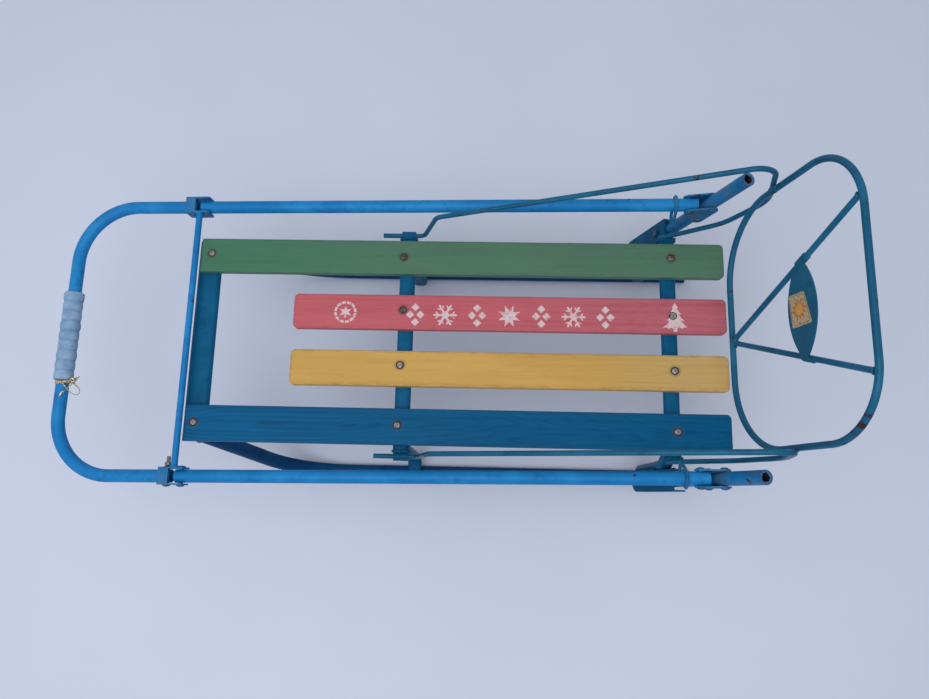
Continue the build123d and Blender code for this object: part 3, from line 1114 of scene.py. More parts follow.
@dataclass
class WeldBeads:
    """Lumpy beads of weld along lines."""

    name: str
    lines: Sequence[Sequence[Point]]
    material: bpy.types.Material
    body: Body
    slot: Slot
    width: float = 0.0034
    ripple: float = 0.00035
    pitch: float = 0.0024
    step: float = 0.0008
    seed: int = 3
    lump_scale: float = 240.0
    lump_share: float = 0.02
    thinnest: float = 0.0004
    taper: float = 26.0
    end_share: float = 0.12

    def tree(self) -> Growth:
        """Write the tree that thickens lines into beads.

        Returns:
            The tree.
        """
        growth = Growth(
            f"{self.name}_tree", Material="Material", Width="Float", Ripple="Float",
            Pitch="Float", Step="Float", Seed="Float",
        )
        curve = growth.add("GeometryNodeMeshToCurve", {}, {0: growth.take("Geometry")})
        curve = growth.add(
            "GeometryNodeResampleCurve", {"mode": "LENGTH"},
            {"Curve": curve, "Length": growth.take("Step")},
        )
        share = growth.add("GeometryNodeSplineParameter", out="Factor")
        along = growth.add("GeometryNodeSplineParameter", out="Length")
        waves = (along / growth.take("Pitch") * TURN).wave() * growth.take("Ripple")
        ends = (share * (1.0 - share) * self.taper).least(1.0) ** 0.5
        lumps = growth.add(
            "ShaderNodeTexNoise", {"noise_dimensions": "4D"},
            {"W": growth.take("Seed"), "Scale": self.lump_scale, "Detail": 2.0},
        )
        body = growth.take("Width") * (lumps + self.lump_share) + waves
        ring = growth.add(
            "GeometryNodeCurvePrimitiveCircle", {"mode": "RADIUS"},
            {"Resolution": 8, "Radius": 1.0},
        )
        bead = growth.add("GeometryNodeCurveToMesh", {}, {
            "Curve": curve, "Profile Curve": ring, "Fill Caps": True,
            "Scale": body.most(self.thinnest) * (ends + self.end_share),
        })
        growth.close(
            growth.add("GeometryNodeSetShadeSmooth", {}, {0: bead, "Shade Smooth": True})
        )
        return growth

    def build(self) -> None:
        """Grow the beads and hand them to their body."""
        points: list[Point] = []
        edges: list[tuple[int, int]] = []
        for line in self.lines:
            start = len(points)
            points.extend(tuple(point) for point in line)
            edges.extend((start + k, start + k + 1) for k in range(len(line) - 1))
        mesh = bpy.data.meshes.new(self.name)
        mesh.from_pydata(points, edges, [])
        piece = self.tree().grow(self.name, mesh, {
            "Material": self.material, "Width": self.width, "Ripple": self.ripple,
            "Pitch": self.pitch, "Step": self.step, "Seed": float(self.seed),
        })
        hand_over(piece, self.body, self.slot)


# Studio


@dataclass
class Studio:
    """Plain pale floor, soft light and the photograph's camera."""

    camera_place: Point = (-0.1104, 0.1954, 1.1218)
    camera_turn_deg: Point = (11.647, 1.573, -178.701)
    lens_mm: float = 28.31
    sensor_mm: float = 36.0
    view_range: Pair = (0.01, 100.0)
    floor_colour: Colour = (0.56, 0.61, 0.75)
    floor_half: float = 45.0
    floor_drop: float = 0.0004
    sky_colour: Colour = (0.96, 0.98, 1.0)
    sky_strength: float = 0.53
    lamp_watts: float = 32.0
    lamp_size: float = 1.8
    lamp_place: Point = (0.35, 0.55, 2.3)
    lamp_target: Point = (0.0, 0.0, 0.2)

    def build(self) -> None:
        """Make the floor, the world, the lamp and the camera."""
        self.floor()
        self.sky()
        self.lamp()
        self.camera()

    def floor(self) -> None:
        """Lay the floor just under the runners."""
        corners = ((-1, -1), (1, -1), (1, 1), (-1, 1))
        half, drop = self.floor_half, self.floor_drop
        mesh = bpy.data.meshes.new("floor")
        mesh.from_pydata([(x * half, y * half, -drop) for x, y in corners], [], [(0, 1, 2, 3)])
        sheet = Sheet("pale_floor")
        mottle = sheet.band(sheet.noise(sheet.place(), 2.2, 3.0), 0.35, 0.65)
        tint = sheet.mix(mottle * 0.5, self.floor_colour, toned(self.floor_colour, 1.06))
        mesh.materials.append(sheet.close(tint, 0.9, specular=0.2))
        placed("floor", mesh)

    def sky(self) -> None:
        """Light evenly from all round, with a white background."""
        world = bpy.data.worlds.new("sky")
        bpy.context.scene.world = world
        world.use_nodes = True
        tree = Tree(world.node_tree)
        rays = tree.add("ShaderNodeLightPath").socket.node.outputs
        camera, glossy, clear = (
            Wire(tree, rays[f"Is {kind} Ray"]) for kind in ("Camera", "Glossy", "Transmission")
        )
        strength = tree.add("ShaderNodeMapRange", {}, {
            "Value": camera.most(glossy).most(clear), "To Min": self.sky_strength, "To Max": 1.0,
        })
        sockets = {"Color": self.sky_colour, "Strength": strength}
        tree.add("ShaderNodeOutputWorld", {}, {0: tree.add("ShaderNodeBackground", {}, sockets)})

    def lamp(self) -> None:
        """Hang one wide soft lamp over the sled."""
        data = bpy.data.lights.new("soft_lamp", "AREA")
        data.shape = "SQUARE"
        data.size = self.lamp_size
        data.energy = self.lamp_watts
        lamp = placed("soft_lamp", data)
        lamp.location = self.lamp_place
        way = Vector(self.lamp_target) - lamp.location
        lamp.rotation_euler = way.to_track_quat("-Z", "Y").to_euler()

    def camera(self) -> None:
        """Stand the camera where the photograph was taken."""
        data = bpy.data.cameras.new("camera")
        data.sensor_width = self.sensor_mm
        data.sensor_fit = "HORIZONTAL"
        data.lens = self.lens_mm
        data.clip_start, data.clip_end = self.view_range
        camera = placed("camera", data)
        camera.location = self.camera_place
        camera.rotation_euler = Euler([math.radians(a) for a in self.camera_turn_deg], "XYZ")
        bpy.context.scene.camera = camera
        bpy.context.scene.view_settings.view_transform = "Standard"


# Sub-assemblies


class Motif(Enum):
    """Ornaments printed on the red slat."""

    FLAKE = "flake"
    STAR = "star"
    DIAMONDS = "diamonds"
    FIR = "fir"
    MEDAL = "medal"


FRAME_PAINT: Colour = (0.0022, 0.072, 0.165)
FRAME_PALE: Colour = (0.0045, 0.094, 0.210)
FRAME_DARK: Colour = (0.0015, 0.050, 0.115)
# The frame paint made darker for the runners: painted shade.
SHADED_RUNNER_PAINT: Colour = (0.0016, 0.042, 0.130)
HANDLE_PAINT: Colour = (0.0040, 0.158, 0.425)
HANDLE_PALE: Colour = (0.0100, 0.205, 0.500)
HANDLE_DARK: Colour = (0.0025, 0.098, 0.280)
RED_WOOD: Colour = (0.44, 0.096, 0.121)


def rivet_paint(name: str) -> Rusted:
    """Give the finish of painted rivets with rust showing through."""
    return Rusted(name, (0.030, 0.022, 0.020), (0.085, 0.062, 0.050), HANDLE_DARK, 0.545, 0.2)


@dataclass
class Seat:
    """Four stained slats, their screws, the nuts below and the prints on the red one."""

    top: float = 0.225
    bar_under: float = 0.203
    screw_rows: dict[str, tuple[Pair, ...]] = field(default_factory=lambda: {
        "slat_outer_right": ((0.2501, -0.1115), (-0.0007, -0.1094), (-0.3426, -0.1126)),
        "slat_inner_right": ((-0.0023, -0.0388), (-0.3425, -0.0363)),
        "slat_inner_left": ((-0.0013, 0.0323), (-0.3425, 0.0338)),
        "slat_outer_left": ((0.2534, 0.1087), (-0.0007, 0.1074), (-0.3435, 0.1091)),
    })
    brown_screws: tuple[Pair, ...] = (
        (-0.0007, -0.1094), (-0.0023, -0.0388), (-0.3426, -0.1126),
    )
    washer_radius: float = 0.0052
    head_radius: float = 0.0036
    head_height: float = 0.0015
    head_rim: float = 0.0003
    head_sunk: float = 0.0004
    head_rings: int = 9
    head_crown: float = 0.985
    slot_half: float = 0.00042
    slot_reach: float = 0.62
    slot_depth: float = 0.0009
    nut_radius: float = 0.0055
    nut_height: float = 0.0038
    thread_pitch: float = 0.0008
    ink_height: float = 0.00012
    ink_sunk: float = 0.00003
    print_y: float = -0.0330
    figure_y: float = -0.0350
    print_size: float = 0.0290
    fir_size: float = 0.0372

    def stains(self) -> tuple[StainedWood, ...]:
        """Choose the four stains.

        Returns:
            The finishes, in the order of the screw rows.
        """
        def board(name: str, **looks: object) -> StainedWood:
            """Fill in the board's box and screws.

            Args:
                name: The board's node.
                looks: The fields of its stain.

            Returns:
                The finish.
            """
            low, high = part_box(name)
            return StainedWood(
                name=f"{name}_stain", low=tuple(low), high=tuple(high),
                screws=self.screw_rows[name], **looks,
            )

        return (
            board(
                "slat_outer_right", colour=(0.066, 0.152, 0.100), deep=(0.048, 0.116, 0.080),
                bare=(0.15, 0.20, 0.12), wear=0.35, rings=0.14, streaks=0.4, dirt=0.22,
                shift=(3.1, 0.0, 1.7), slope=0.03, depth=0.034,
                end_colour=(0.042, 0.156, 0.094), end_from=-0.08, end_full=0.24,
            ),
            board(
                "slat_inner_right", colour=RED_WOOD, deep=(0.35, 0.062, 0.077),
                bare=(0.44, 0.17, 0.15), wear=0.5, rings=0.2, streaks=0.45, dirt=0.2,
                shift=(8.3, 2.0, 0.4), slope=-0.04, depth=0.030, roughness=0.5,
                end_colour=(0.40, 0.110, 0.145), end_from=-0.10, end_full=-0.36,
            ),
            board(
                "slat_inner_left", colour=(0.50, 0.300, 0.078), deep=(0.40, 0.225, 0.055),
                bare=(0.40, 0.27, 0.13), wear=0.5, wear_depth=0.0015, rings=0.16, streaks=0.3,
                dirt=0.28, shift=(1.4, 5.0, 6.2), slope=0.05, depth=0.026, roughness=0.5,
                end_colour=(0.47, 0.320, 0.125), end_from=-0.24, end_full=-0.38,
            ),
            board(
                "slat_outer_left", colour=(0.0018, 0.084, 0.203), deep=(0.0013, 0.059, 0.148),
                bare=(0.02, 0.11, 0.18), wear=0.4, rings=0.45, streaks=0.5, dirt=0.2,
                shift=(5.5, 1.0, 3.3), slope=-0.09, depth=0.012, ring_width=0.0047,
                roughness=0.40, shine=0.05, end_colour=(0.0020, 0.096, 0.238), end_from=0.02,
                end_full=0.24,
            ),
        )

    def places(self) -> list[Pair]:
        """Give the place of every screw, row by row."""
        return [place for row in self.screw_rows.values() for place in row]

    def build(self) -> None:
        """Dress the slats and add everything on them."""
        for name, stain in zip(self.screw_rows, self.stains()):
            paint_nodes(stain.make(), name)
        self.screws()
        self.nuts()
        self.prints()

    def screws(self) -> None:
        """Stamp the cup washers, whose near-black tone is partly painted shade of a sunk hole, and
        the domed cross-slotted heads.
        """
        washer = Shape()
        outer, inner = self.washer_radius, self.head_radius
        washer.turned((
            (outer, -0.0005), (outer, 0.0001), (outer - 0.0003, 0.0005),
            (outer - 0.0009, 0.0007), (inner + 0.0004, 0.0002), (inner - 0.0002, -0.0003),
        ), 32)
        # Near-black washers: partly rusty steel, partly painted shade of the countersink round each
        # head.
        cup = Rusted(
            "washer_and_painted_shade", (0.018, 0.014, 0.013), (0.085, 0.045, 0.028), (0.02, 0.05, 0.08),
            paint_share=0.40,
        )
        grey = Rusted(
            "screw_steel", (0.13, 0.125, 0.125), (0.54, 0.54, 0.55), (0.21, 0.205, 0.20),
            paint_share=0.46, metal=0.8,
        )
        brown = Rusted(
            "brown_screw_steel", (0.034, 0.024, 0.020), (0.115, 0.090, 0.068), (0.15, 0.13, 0.11),
            paint_share=0.38, metal=0.3,
        )
        head, all_places = self.cross_head(), self.places()
        bright_places = [place for place in all_places if place not in self.brown_screws]
        for name, shape, places, steel, slot, spread, seed in (
            ("screw_washers", washer, all_places, cup, Slot.RUST, 0.04, 7),
            ("screw_heads", head, bright_places, grey, Slot.RIVET, 0.05, 21),
            ("screw_heads_brown", head, self.brown_screws, brown, Slot.RUST, 0.05, 23),
        ):
            stands = [Stand((x, y, self.top)) for x, y in places]
            Stamps(
                name, shape, stands, steel.make(), Body.SLED, slot, spread=spread, seed=seed
            ).build()

    def cross_head(self) -> Shape:
        """Model a domed head with a cross recess.

        Returns:
            The shape, on its local z axis.
        """
        radius, sunk, around = self.head_radius, self.head_sunk, angles(48)
        rows = [[Vector((radius * math.cos(a), radius * math.sin(a), -sunk)) for a in around]]
        for ring in range(self.head_rings):
            share = ring / (self.head_rings - 1) * self.head_crown
            reach = radius * math.cos(share * math.pi / 2)
            dome = self.head_rim + self.head_height * math.sin(share * math.pi / 2)
            row = []
            for angle in around:
                x, y = reach * math.cos(angle), reach * math.sin(angle)
                across, along = sorted((abs(x), abs(y)))
                cut = across < self.slot_half and along < radius * self.slot_reach
                row.append(Vector((x, y, dome - self.slot_depth * cut)))
            rows.append(row)
        shape = Shape()
        shape.skin(rows)
        return shape

    def nuts(self) -> None:
        """Stamp a washer, a nut and the screw's end under each crossbar."""
        shape = Shape()
        radius, height = self.nut_radius, self.nut_height
        root, crest, top = radius * 0.42, radius * 0.50, height + 0.0006
        shape.turned(((radius * 1.18, -0.0003), (radius * 1.18, 0.0007)))
        shape.turned(
            ((radius * 0.9, 0.0007), (radius, 0.0012), (radius, height), (radius * 0.9, top)), 6
        )
        shape.turned(((root, height), *threads(top, 4, self.thread_pitch, crest, root)), 16)
        steel = Rusted(
            "nut_steel", (0.035, 0.020, 0.014), (0.17, 0.085, 0.045), FRAME_PAINT,
            paint_share=0.44,
        )
        stands = [Stand((x, y, self.bar_under), (0.0, 0.0, -1.0)) for x, y in self.places()]
        Stamps(
            "seat_nuts", shape, stands, steel.make(), Body.SLED, Slot.RUST, seed=5,
            smooth_deg=28.0,
        ).build()

    def prints(self) -> None:
        """Print generic winter ornaments along the red slat."""
        size, y = self.print_size, self.print_y
        layout: tuple[tuple[Motif, float, float, float], ...] = (
            (Motif.MEDAL, 0.0712, self.figure_y, size),
            (Motif.DIAMONDS, -0.0180, y, size * 0.72),
            (Motif.FLAKE, -0.0560, y, size * 1.06),
            (Motif.DIAMONDS, -0.0965, y, size * 0.72),
            (Motif.STAR, -0.1370, y, size * 1.04),
            (Motif.DIAMONDS, -0.1775, y, size * 0.72),
            (Motif.FLAKE, -0.2180, y, size * 1.06),
            (Motif.DIAMONDS, -0.2580, y, size * 0.72),
            (Motif.FIR, -0.3449, self.figure_y, self.fir_size),
        )
        shape = Shape()
        for motif, x, middle_y, full in layout:
            middle = Matrix.Translation((x, middle_y, self.top - self.ink_sunk))
            place = middle @ Matrix.Rotation(math.pi, 4, "Z")
            for k, outline in enumerate(self.outlines(motif, full / 2)):
                shape.slab(place, outline, self.ink_height + 0.000003 * k)
        ink = Print("slat_print", (0.62, 0.47, 0.50), RED_WOOD, rubbed=0.60)
        hand_over(shape.piece("seat_prints", ink.make()), Body.SLED, Slot.RED)

    def outlines(self, motif: Motif, half: float) -> list[Outline]:
        """Draw a motif.

        Args:
            motif: Which one.
            half: Half of its whole size.

        Returns:
            Its separate outlines, anticlockwise, round the middle.
        """
        def star(points: int, outer: float, inner: float, start: float) -> Outline:
            """Draw a star with straight points.

            Args:
                points: How many points it has.
                outer: Reach of the points.
                inner: Reach of the notches.
                start: Angle of the first point.

            Returns:
                The outline.
            """
            step = math.pi / points
            return [
                (reach * math.cos(start + k * step), reach * math.sin(start + k * step))
                for k, reach in enumerate((outer, inner) * points)
            ]

        if motif is Motif.FLAKE:
            wide = half * 0.085
            arm = (
                (half * 0.20, -wide), (half * 0.93, -wide), (half, 0.0), (half * 0.93, wide),
                (half * 0.20, wide),
            )
            barb = (
                (0.0, -wide * 0.85), (half * 0.36, -wide * 0.6), (half * 0.36, wide * 0.6),
                (0.0, wide * 0.85),
            )
            shapes = [star(6, half * 0.34, half * 0.22, math.pi / 6)]
            for k in range(6):
                shapes.append(spun(arm, k * math.pi / 3))
                for side in (1, -1):
                    leaning = [(a + half * 0.55, b) for a, b in spun(barb, side * math.pi / 3.4)]
                    shapes.append(spun(leaning, k * math.pi / 3))
            return shapes
        if motif is Motif.STAR:
            return [star(8, half, half * 0.47, math.pi / 8)]
        if motif is Motif.MEDAL:
            shapes = [star(6, half * 0.60, half * 0.27, math.pi / 6)]
            for start in angles(12):
                end = start + TURN / 12 * 0.80
                shapes.append([
                    (reach * half * math.cos(a), reach * half * math.sin(a))
                    for reach, a in ((0.78, start), (1.0, start), (1.0, end), (0.78, end))
                ])
            return shapes
        if motif is Motif.DIAMONDS:
            corners = ((0.50, 0.0), (0.0, 0.50), (-0.50, 0.0), (0.0, -0.50))
            middles = ((0.0, 0.92), (0.0, -0.92), (0.62, 0.0), (-0.62, 0.0))
            return [[(half * (x + a), half * (y + b)) for a, b in corners] for x, y in middles]
        side = (
            (0.20, 0.66), (0.13, 0.62), (0.30, 0.34), (0.44, 0.20), (0.25, 0.20), (0.41, -0.06),
            (0.63, -0.26), (0.38, -0.24), (0.55, -0.46), (0.84, -0.74), (0.60, -0.71),
            (0.46, -0.80), (0.30, -0.73), (0.13, -0.79), (0.12, -1.0),
        )
        other = [(-x * (0.92 + 0.1 * (k % 2)), y - 0.02 * (k % 3)) for k, (x, y) in enumerate(side)]
        return [[(x * half, y * half) for x, y in (*reversed(other), (0.0, 1.0), *side)][::-1]]


@dataclass
class Underframe:
    """Crossbars, legs, runners, arm rods and sleeves, with their weld beads."""

    mid_bar_x: float = -0.0047
    rear_bar_x: float = -0.3407
    bar_middle: float = 0.209
    bar_under: float = 0.203
    bar_width: float = 0.020
    bar_height: float = 0.012
    mid_leg_y: float = 0.133
    rear_leg_y: float = 0.131
    leg_width: float = 0.016
    mid_bar_half: float = 0.139
    rear_bar_half: float = 0.1413
    runner_tip: Point = (0.2509, 0.1211, 0.203)
    runner_size: Pair = (0.0200, 0.0128)
    runner_top: float = 0.012
    foot_span: Pair = (0.1500, 0.1640)
    foot_edge: float = 0.0066
    foot_rise: float = 0.0009
    bracket_side: float = 0.1520
    bracket_edge: float = 0.0098
    bracket_spans: tuple[Pair, ...] = ((0.100, 0.146), (0.132, 0.176))
    inset: float = 0.0006
    tip_inset: float = 0.0004

    def paints(self) -> tuple[Enamel, Enamel]:
        """Choose the paint of the bars and of the runners, whose paint is darkened as painted
        shade.

        Returns:
            The two finishes.
        """
        bars = Enamel(
            "bar_enamel", FRAME_PAINT, FRAME_PALE, FRAME_DARK, roughness=0.36, chips=0.71,
            shine=0.05,
        )
        # Painted shade: the runners take a darker copy of the frame paint, with darker pale and
        # dark tones too.
        runners = Enamel(
            "shaded_runner_enamel", SHADED_RUNNER_PAINT, (0.0040, 0.052, 0.150), (0.0010, 0.024, 0.085),
            roughness=0.42, chips=0.685, shine=0.06,
        )
        return bars, runners

    def build(self) -> None:
        """Paint the nodes and add the welds."""
        bars, runners = (paint.make() for paint in self.paints())
        paint_nodes(
            bars, "front_crossbar", "mid_crossbar", "rear_crossbar", *both("mid_leg"),
            *both("rear_leg"), *both("arm_sleeve"), *both("post_bracket"),
        )
        paint_nodes(runners, *both("runner"))
        WeldBeads("frame_welds", self.seams(), bars, Body.SLED, Slot.FRAME).build()

    def seams(self) -> list[list[Vector]]:
        """Lay out the weld lines of the frame.

        Returns:
            The lines.
        """
        x_way, y_way, z_way = (1.0, 0.0, 0.0), (0.0, 1.0, 0.0), (0.0, 0.0, 1.0)
        legs = ((self.mid_bar_x, self.mid_leg_y), (self.rear_bar_x, self.rear_leg_y))
        ends = ((self.mid_bar_x, self.mid_bar_half), (self.rear_bar_x, self.rear_bar_half))
        lines: list[list[Vector]] = []
        for sign in (1, -1):
            for bar_x, leg_y in legs:
                lines.append(oval_loop(
                    (bar_x, sign * leg_y, self.bar_under - self.inset), x_way, y_way,
                    self.leg_width, self.bar_height,
                ))
                for edge in (-self.foot_edge, self.foot_edge):
                    lines.append([
                        Vector((bar_x + edge, sign * y, self.runner_top + self.foot_rise))
                        for y in self.foot_span
                    ])
            for bar_x, half in ends:
                loop = oval_loop(
                    (bar_x, sign * (half - self.inset), self.bar_middle), x_way, z_way,
                    self.bar_width, self.bar_height,
                )
                lines.append(loop + loop[:1])
            x, y, z = self.runner_tip
            loop = oval_loop((x, sign * y, z - self.tip_inset), y_way, x_way, *self.runner_size)
            lines.append(loop + loop[:1])
            for edge, span in zip((self.bracket_edge, -self.bracket_edge), self.bracket_spans):
                lines.append([
                    Vector((self.rear_bar_x + edge, sign * self.bracket_side, z)) for z in span
                ])
        return lines


@dataclass
class Backrest:
    """Wire hoop, struts, plate and arm rods, with the label and the tabs."""

    foot: Point = (-0.3957, 0.0, 0.2820)
    lean_deg: float = 11.6
    height: float = 0.228
    rod_radius: float = 0.0035
    strut_radius: float = 0.0030
    strut_aside: float = 0.009
    strut_vertex: float = -0.0012
    strut_half: float = 0.082
    strut_top: float = 0.2222
    plate_rise: float = 0.137
    plate_thick: float = 0.0015
    tab_half: float = 0.0072
    tab_from_deg: float = 100.0
    tab_round_deg: float = 205.0
    tab_trim_deg: float = 4.4
    arm_crossing: Point = (-0.4157, 0.1411, 0.3787)
    arm_way: Point = (-0.245, 0.0, 0.97)
    arm_weld: Pair = (0.0020, 0.007)
    foot_weld: Pair = (0.0022, 0.0075)
    label_corners: tuple[Pair, ...] = (
        (-0.0136, 0.1172), (0.0205, 0.1206), (0.0205, 0.1512), (-0.0130, 0.1418),
    )
    label_middle: Pair = (0.0036, 0.1330)
    card_round: float = 0.0022
    card_thick: float = 0.00016
    card_sunk: float = 0.00002
    ink_thick: float = 0.00006
    disc_radius: float = 0.0052
    ray_foot: Pair = (0.0060, 0.0016)
    ray_reach: Pair = (0.0112, 0.0132)
    line_half: float = 0.00035
    line_inset: float = 0.90
    line_gap: float = 0.06
    cream: Colour = (0.40, 0.33, 0.19)

    def plane(self) -> Matrix:
        """Lay the backrest's frame: x to the left, y up the backrest, z forward.

        Returns:
            The frame's matrix.
        """
        lean = math.radians(self.lean_deg)
        left = Vector((0.0, 1.0, 0.0))
        up = Vector((-math.sin(lean), 0.0, math.cos(lean)))
        out = Vector((math.cos(lean), 0.0, math.sin(lean)))
        turn = Matrix((left, up, out)).transposed().to_4x4()
        return Matrix.Translation(Vector(self.foot)) @ turn

    def paint(self) -> Enamel:
        """Choose the paint of the rods.

        Returns:
            The finish, with the bare places that show.
        """
        return Enamel(
            "rod_enamel", (0.0040, 0.078, 0.160), (0.0080, 0.108, 0.210), (0.0025, 0.045, 0.095),
            roughness=0.32, chips=0.66,
            spots=(
                Spot((-0.4344, 0.1294, 0.4708), 0.0042), Spot((-0.4362, 0.1240, 0.4800), 0.0052),
                Spot((-0.4380, 0.1162, 0.4878), 0.0048), Spot((-0.4392, 0.1085, 0.4934), 0.0036),
                Spot((-0.3961, 0.0089, 0.2860), 0.0034),
            ),
        )

    def build(self) -> None:
        """Paint the nodes and add what sits on them."""
        paint = self.paint().make()
        paint_nodes(paint, "backrest_hoop", "backrest_struts", *both("arm_rod"))
        plate = Enamel(
            "plate_enamel", (0.0050, 0.076, 0.148), (0.0090, 0.098, 0.180),
            (0.0035, 0.050, 0.098), roughness=0.38, chips=0.70,
        ).make()
        paint_nodes(plate, "backrest_plate")
        self.tabs(plate)
        self.label()
        WeldBeads(
            "backrest_welds", self.seams(), paint, Body.SLED, Slot.FRAME, width=0.0017,
            ripple=0.0002, seed=11,
        ).build()

    def strut(self, sign: int, rise: float) -> tuple[Vector, Vector]:
        """Give a place on a strut and its direction, in the backrest's frame.

        Args:
            sign: 1 for the left strut, -1 for the right one.
            rise: How far up the backrest.

        Returns:
            The place and the unit direction.
        """
        foot = Vector((self.strut_aside, self.strut_vertex, 0.0))
        head = Vector((sign * self.strut_half, self.height, 0.0))
        way = (head - foot).normalized()
        return foot + way * ((rise - foot.y) / way.y), way

    def tabs(self, paint: bpy.types.Material) -> None:
        """Bend the plate's two tips round the struts.

        Args:
            paint: The plate's paint.
        """
        shape = Shape()
        plane = self.plane()
        inner = self.strut_radius + 0.0001
        outer = self.strut_radius + self.plate_thick
        end = self.tab_trim_deg
        for sign in (1, -1):
            middle, way = self.strut(sign, self.plate_rise)
            aside = Vector((way.y, -way.x, 0.0)) * sign
            rings = []
            for share, trim in ((-1.0, end), (-0.86, 0.0), (0.86, 0.0), (1.0, end)):
                start, length = self.tab_from_deg - trim, self.tab_round_deg - 2 * trim
                arc = [math.radians(start - k * length / 14) for k in range(15)]
                ring = [(outer * math.cos(a), outer * math.sin(a)) for a in arc]
                ring += [(inner * math.cos(a), inner * math.sin(a)) for a in reversed(arc)]
                rings.append([
                    plane @ (middle + way * (share * self.tab_half) + aside * a + FRONT * b)
                    for a, b in ring
                ])
            shape.skin(rings)
        hand_over(shape.piece("plate_tabs", paint), Body.SLED, Slot.FRAME)

    def label(self) -> None:
        """Stick a plain label with a sun on the plate."""
        height = self.strut_radius + self.plate_thick - self.card_sunk
        front = self.plane() @ Matrix.Translation((0.0, 0.0, height))
        raised = front @ Matrix.Translation((*self.label_middle, self.card_thick))
        card, rays, disc, lines = Shape(), Shape(), Shape(), Shape()
        corners, middle, radius = self.label_corners, Vector(self.label_middle), self.disc_radius
        card.slab(front, self.rounded(corners, self.card_round), self.card_thick)
        near, half = self.ray_foot
        for k, angle in enumerate(angles(12)):
            ray = ((near, -half), (self.ray_reach[k % 2], 0.0), (near, half))
            rays.slab(raised, spun(ray, angle + 0.1), self.ink_thick)
        disc.slab(
            raised, [(radius * math.cos(a), radius * math.sin(a)) for a in angles(36)],
            self.ink_thick,
        )
        for start, end in zip(corners, corners[1:] + corners[:1]):
            a = middle + (Vector(start) - middle) * self.line_inset
            b = middle + (Vector(end) - middle) * self.line_inset
            side = (b - a).orthogonal().normalized() * self.line_half
            way = (b - a) * self.line_gap
            quad = (a + way - side, b - way - side, b - way + side, a + way + side)
            on_card = front @ Matrix.Translation((0.0, 0.0, self.card_thick))
            lines.slab(on_card, [(p.x, p.y) for p in quad], self.ink_thick)
        cream = self.cream
        for name, shape, ink in (
            ("label_card", card, Print("label_cream", cream, (0.19, 0.17, 0.12), 0.55, 330.0)),
            ("label_rays", rays, Print("label_orange", (0.48, 0.085, 0.022), cream, 0.58, 500.0)),
            ("label_disc", disc, Print("label_yellow", (0.56, 0.27, 0.025), cream, 0.58, 500.0)),
            ("label_lines", lines, Print("label_red", (0.34, 0.075, 0.025), cream, 0.58, 500.0)),
        ):
            hand_over(shape.piece(name, ink.make()), Body.SLED, Slot.FRAME)

    def rounded(self, corners: Sequence[Pair], radius: float) -> Outline:
        """Round the corners of an outline.

        Args:
            corners: The corners in order.
            radius: How far from each corner the curve starts.

        Returns:
            The outline.
        """
        outline: Outline = []
        for k, corner in enumerate(corners):
            here = Vector(corner)
            before = Vector(corners[k - 1]) - here
            after = Vector(corners[(k + 1) % len(corners)]) - here
            a = here + before.normalized() * radius
            b = here + after.normalized() * radius
            for step in range(5):
                t = step / 4
                point = a * (1 - t) ** 2 + here * (2 * t * (1 - t)) + b * t ** 2
                outline.append((point.x, point.y))
        return outline

    def seams(self) -> list[list[Vector]]:
        """Lay out the weld lines of the backrest.

        Returns:
            The lines.
        """
        plane = self.plane()
        lines: list[list[Vector]] = []
        for sign in (1, -1):
            top, way = self.strut(sign, self.strut_top)
            aside = Vector((way.y, -way.x, 0.0))
            lines.append([
                plane @ (top + (aside * math.cos(a) + FRONT * math.sin(a)) * self.strut_radius)
                for a in angles(14, 15)
            ])
            x, y, z = self.arm_crossing
            edge, half = self.arm_weld
            for offset in (-edge, edge):
                lines.append([
                    Vector((x + offset, sign * y, z)) + Vector(self.arm_way) * step
                    for step in (-half, half)
                ])
        edge, half = self.foot_weld
        height = self.rod_radius + 0.0004
        for depth in (-edge, edge):
            lines.append([
                plane @ Vector((self.strut_aside + across, height, depth))
                for across in (-half, 0.0, half)
            ])
        return lines


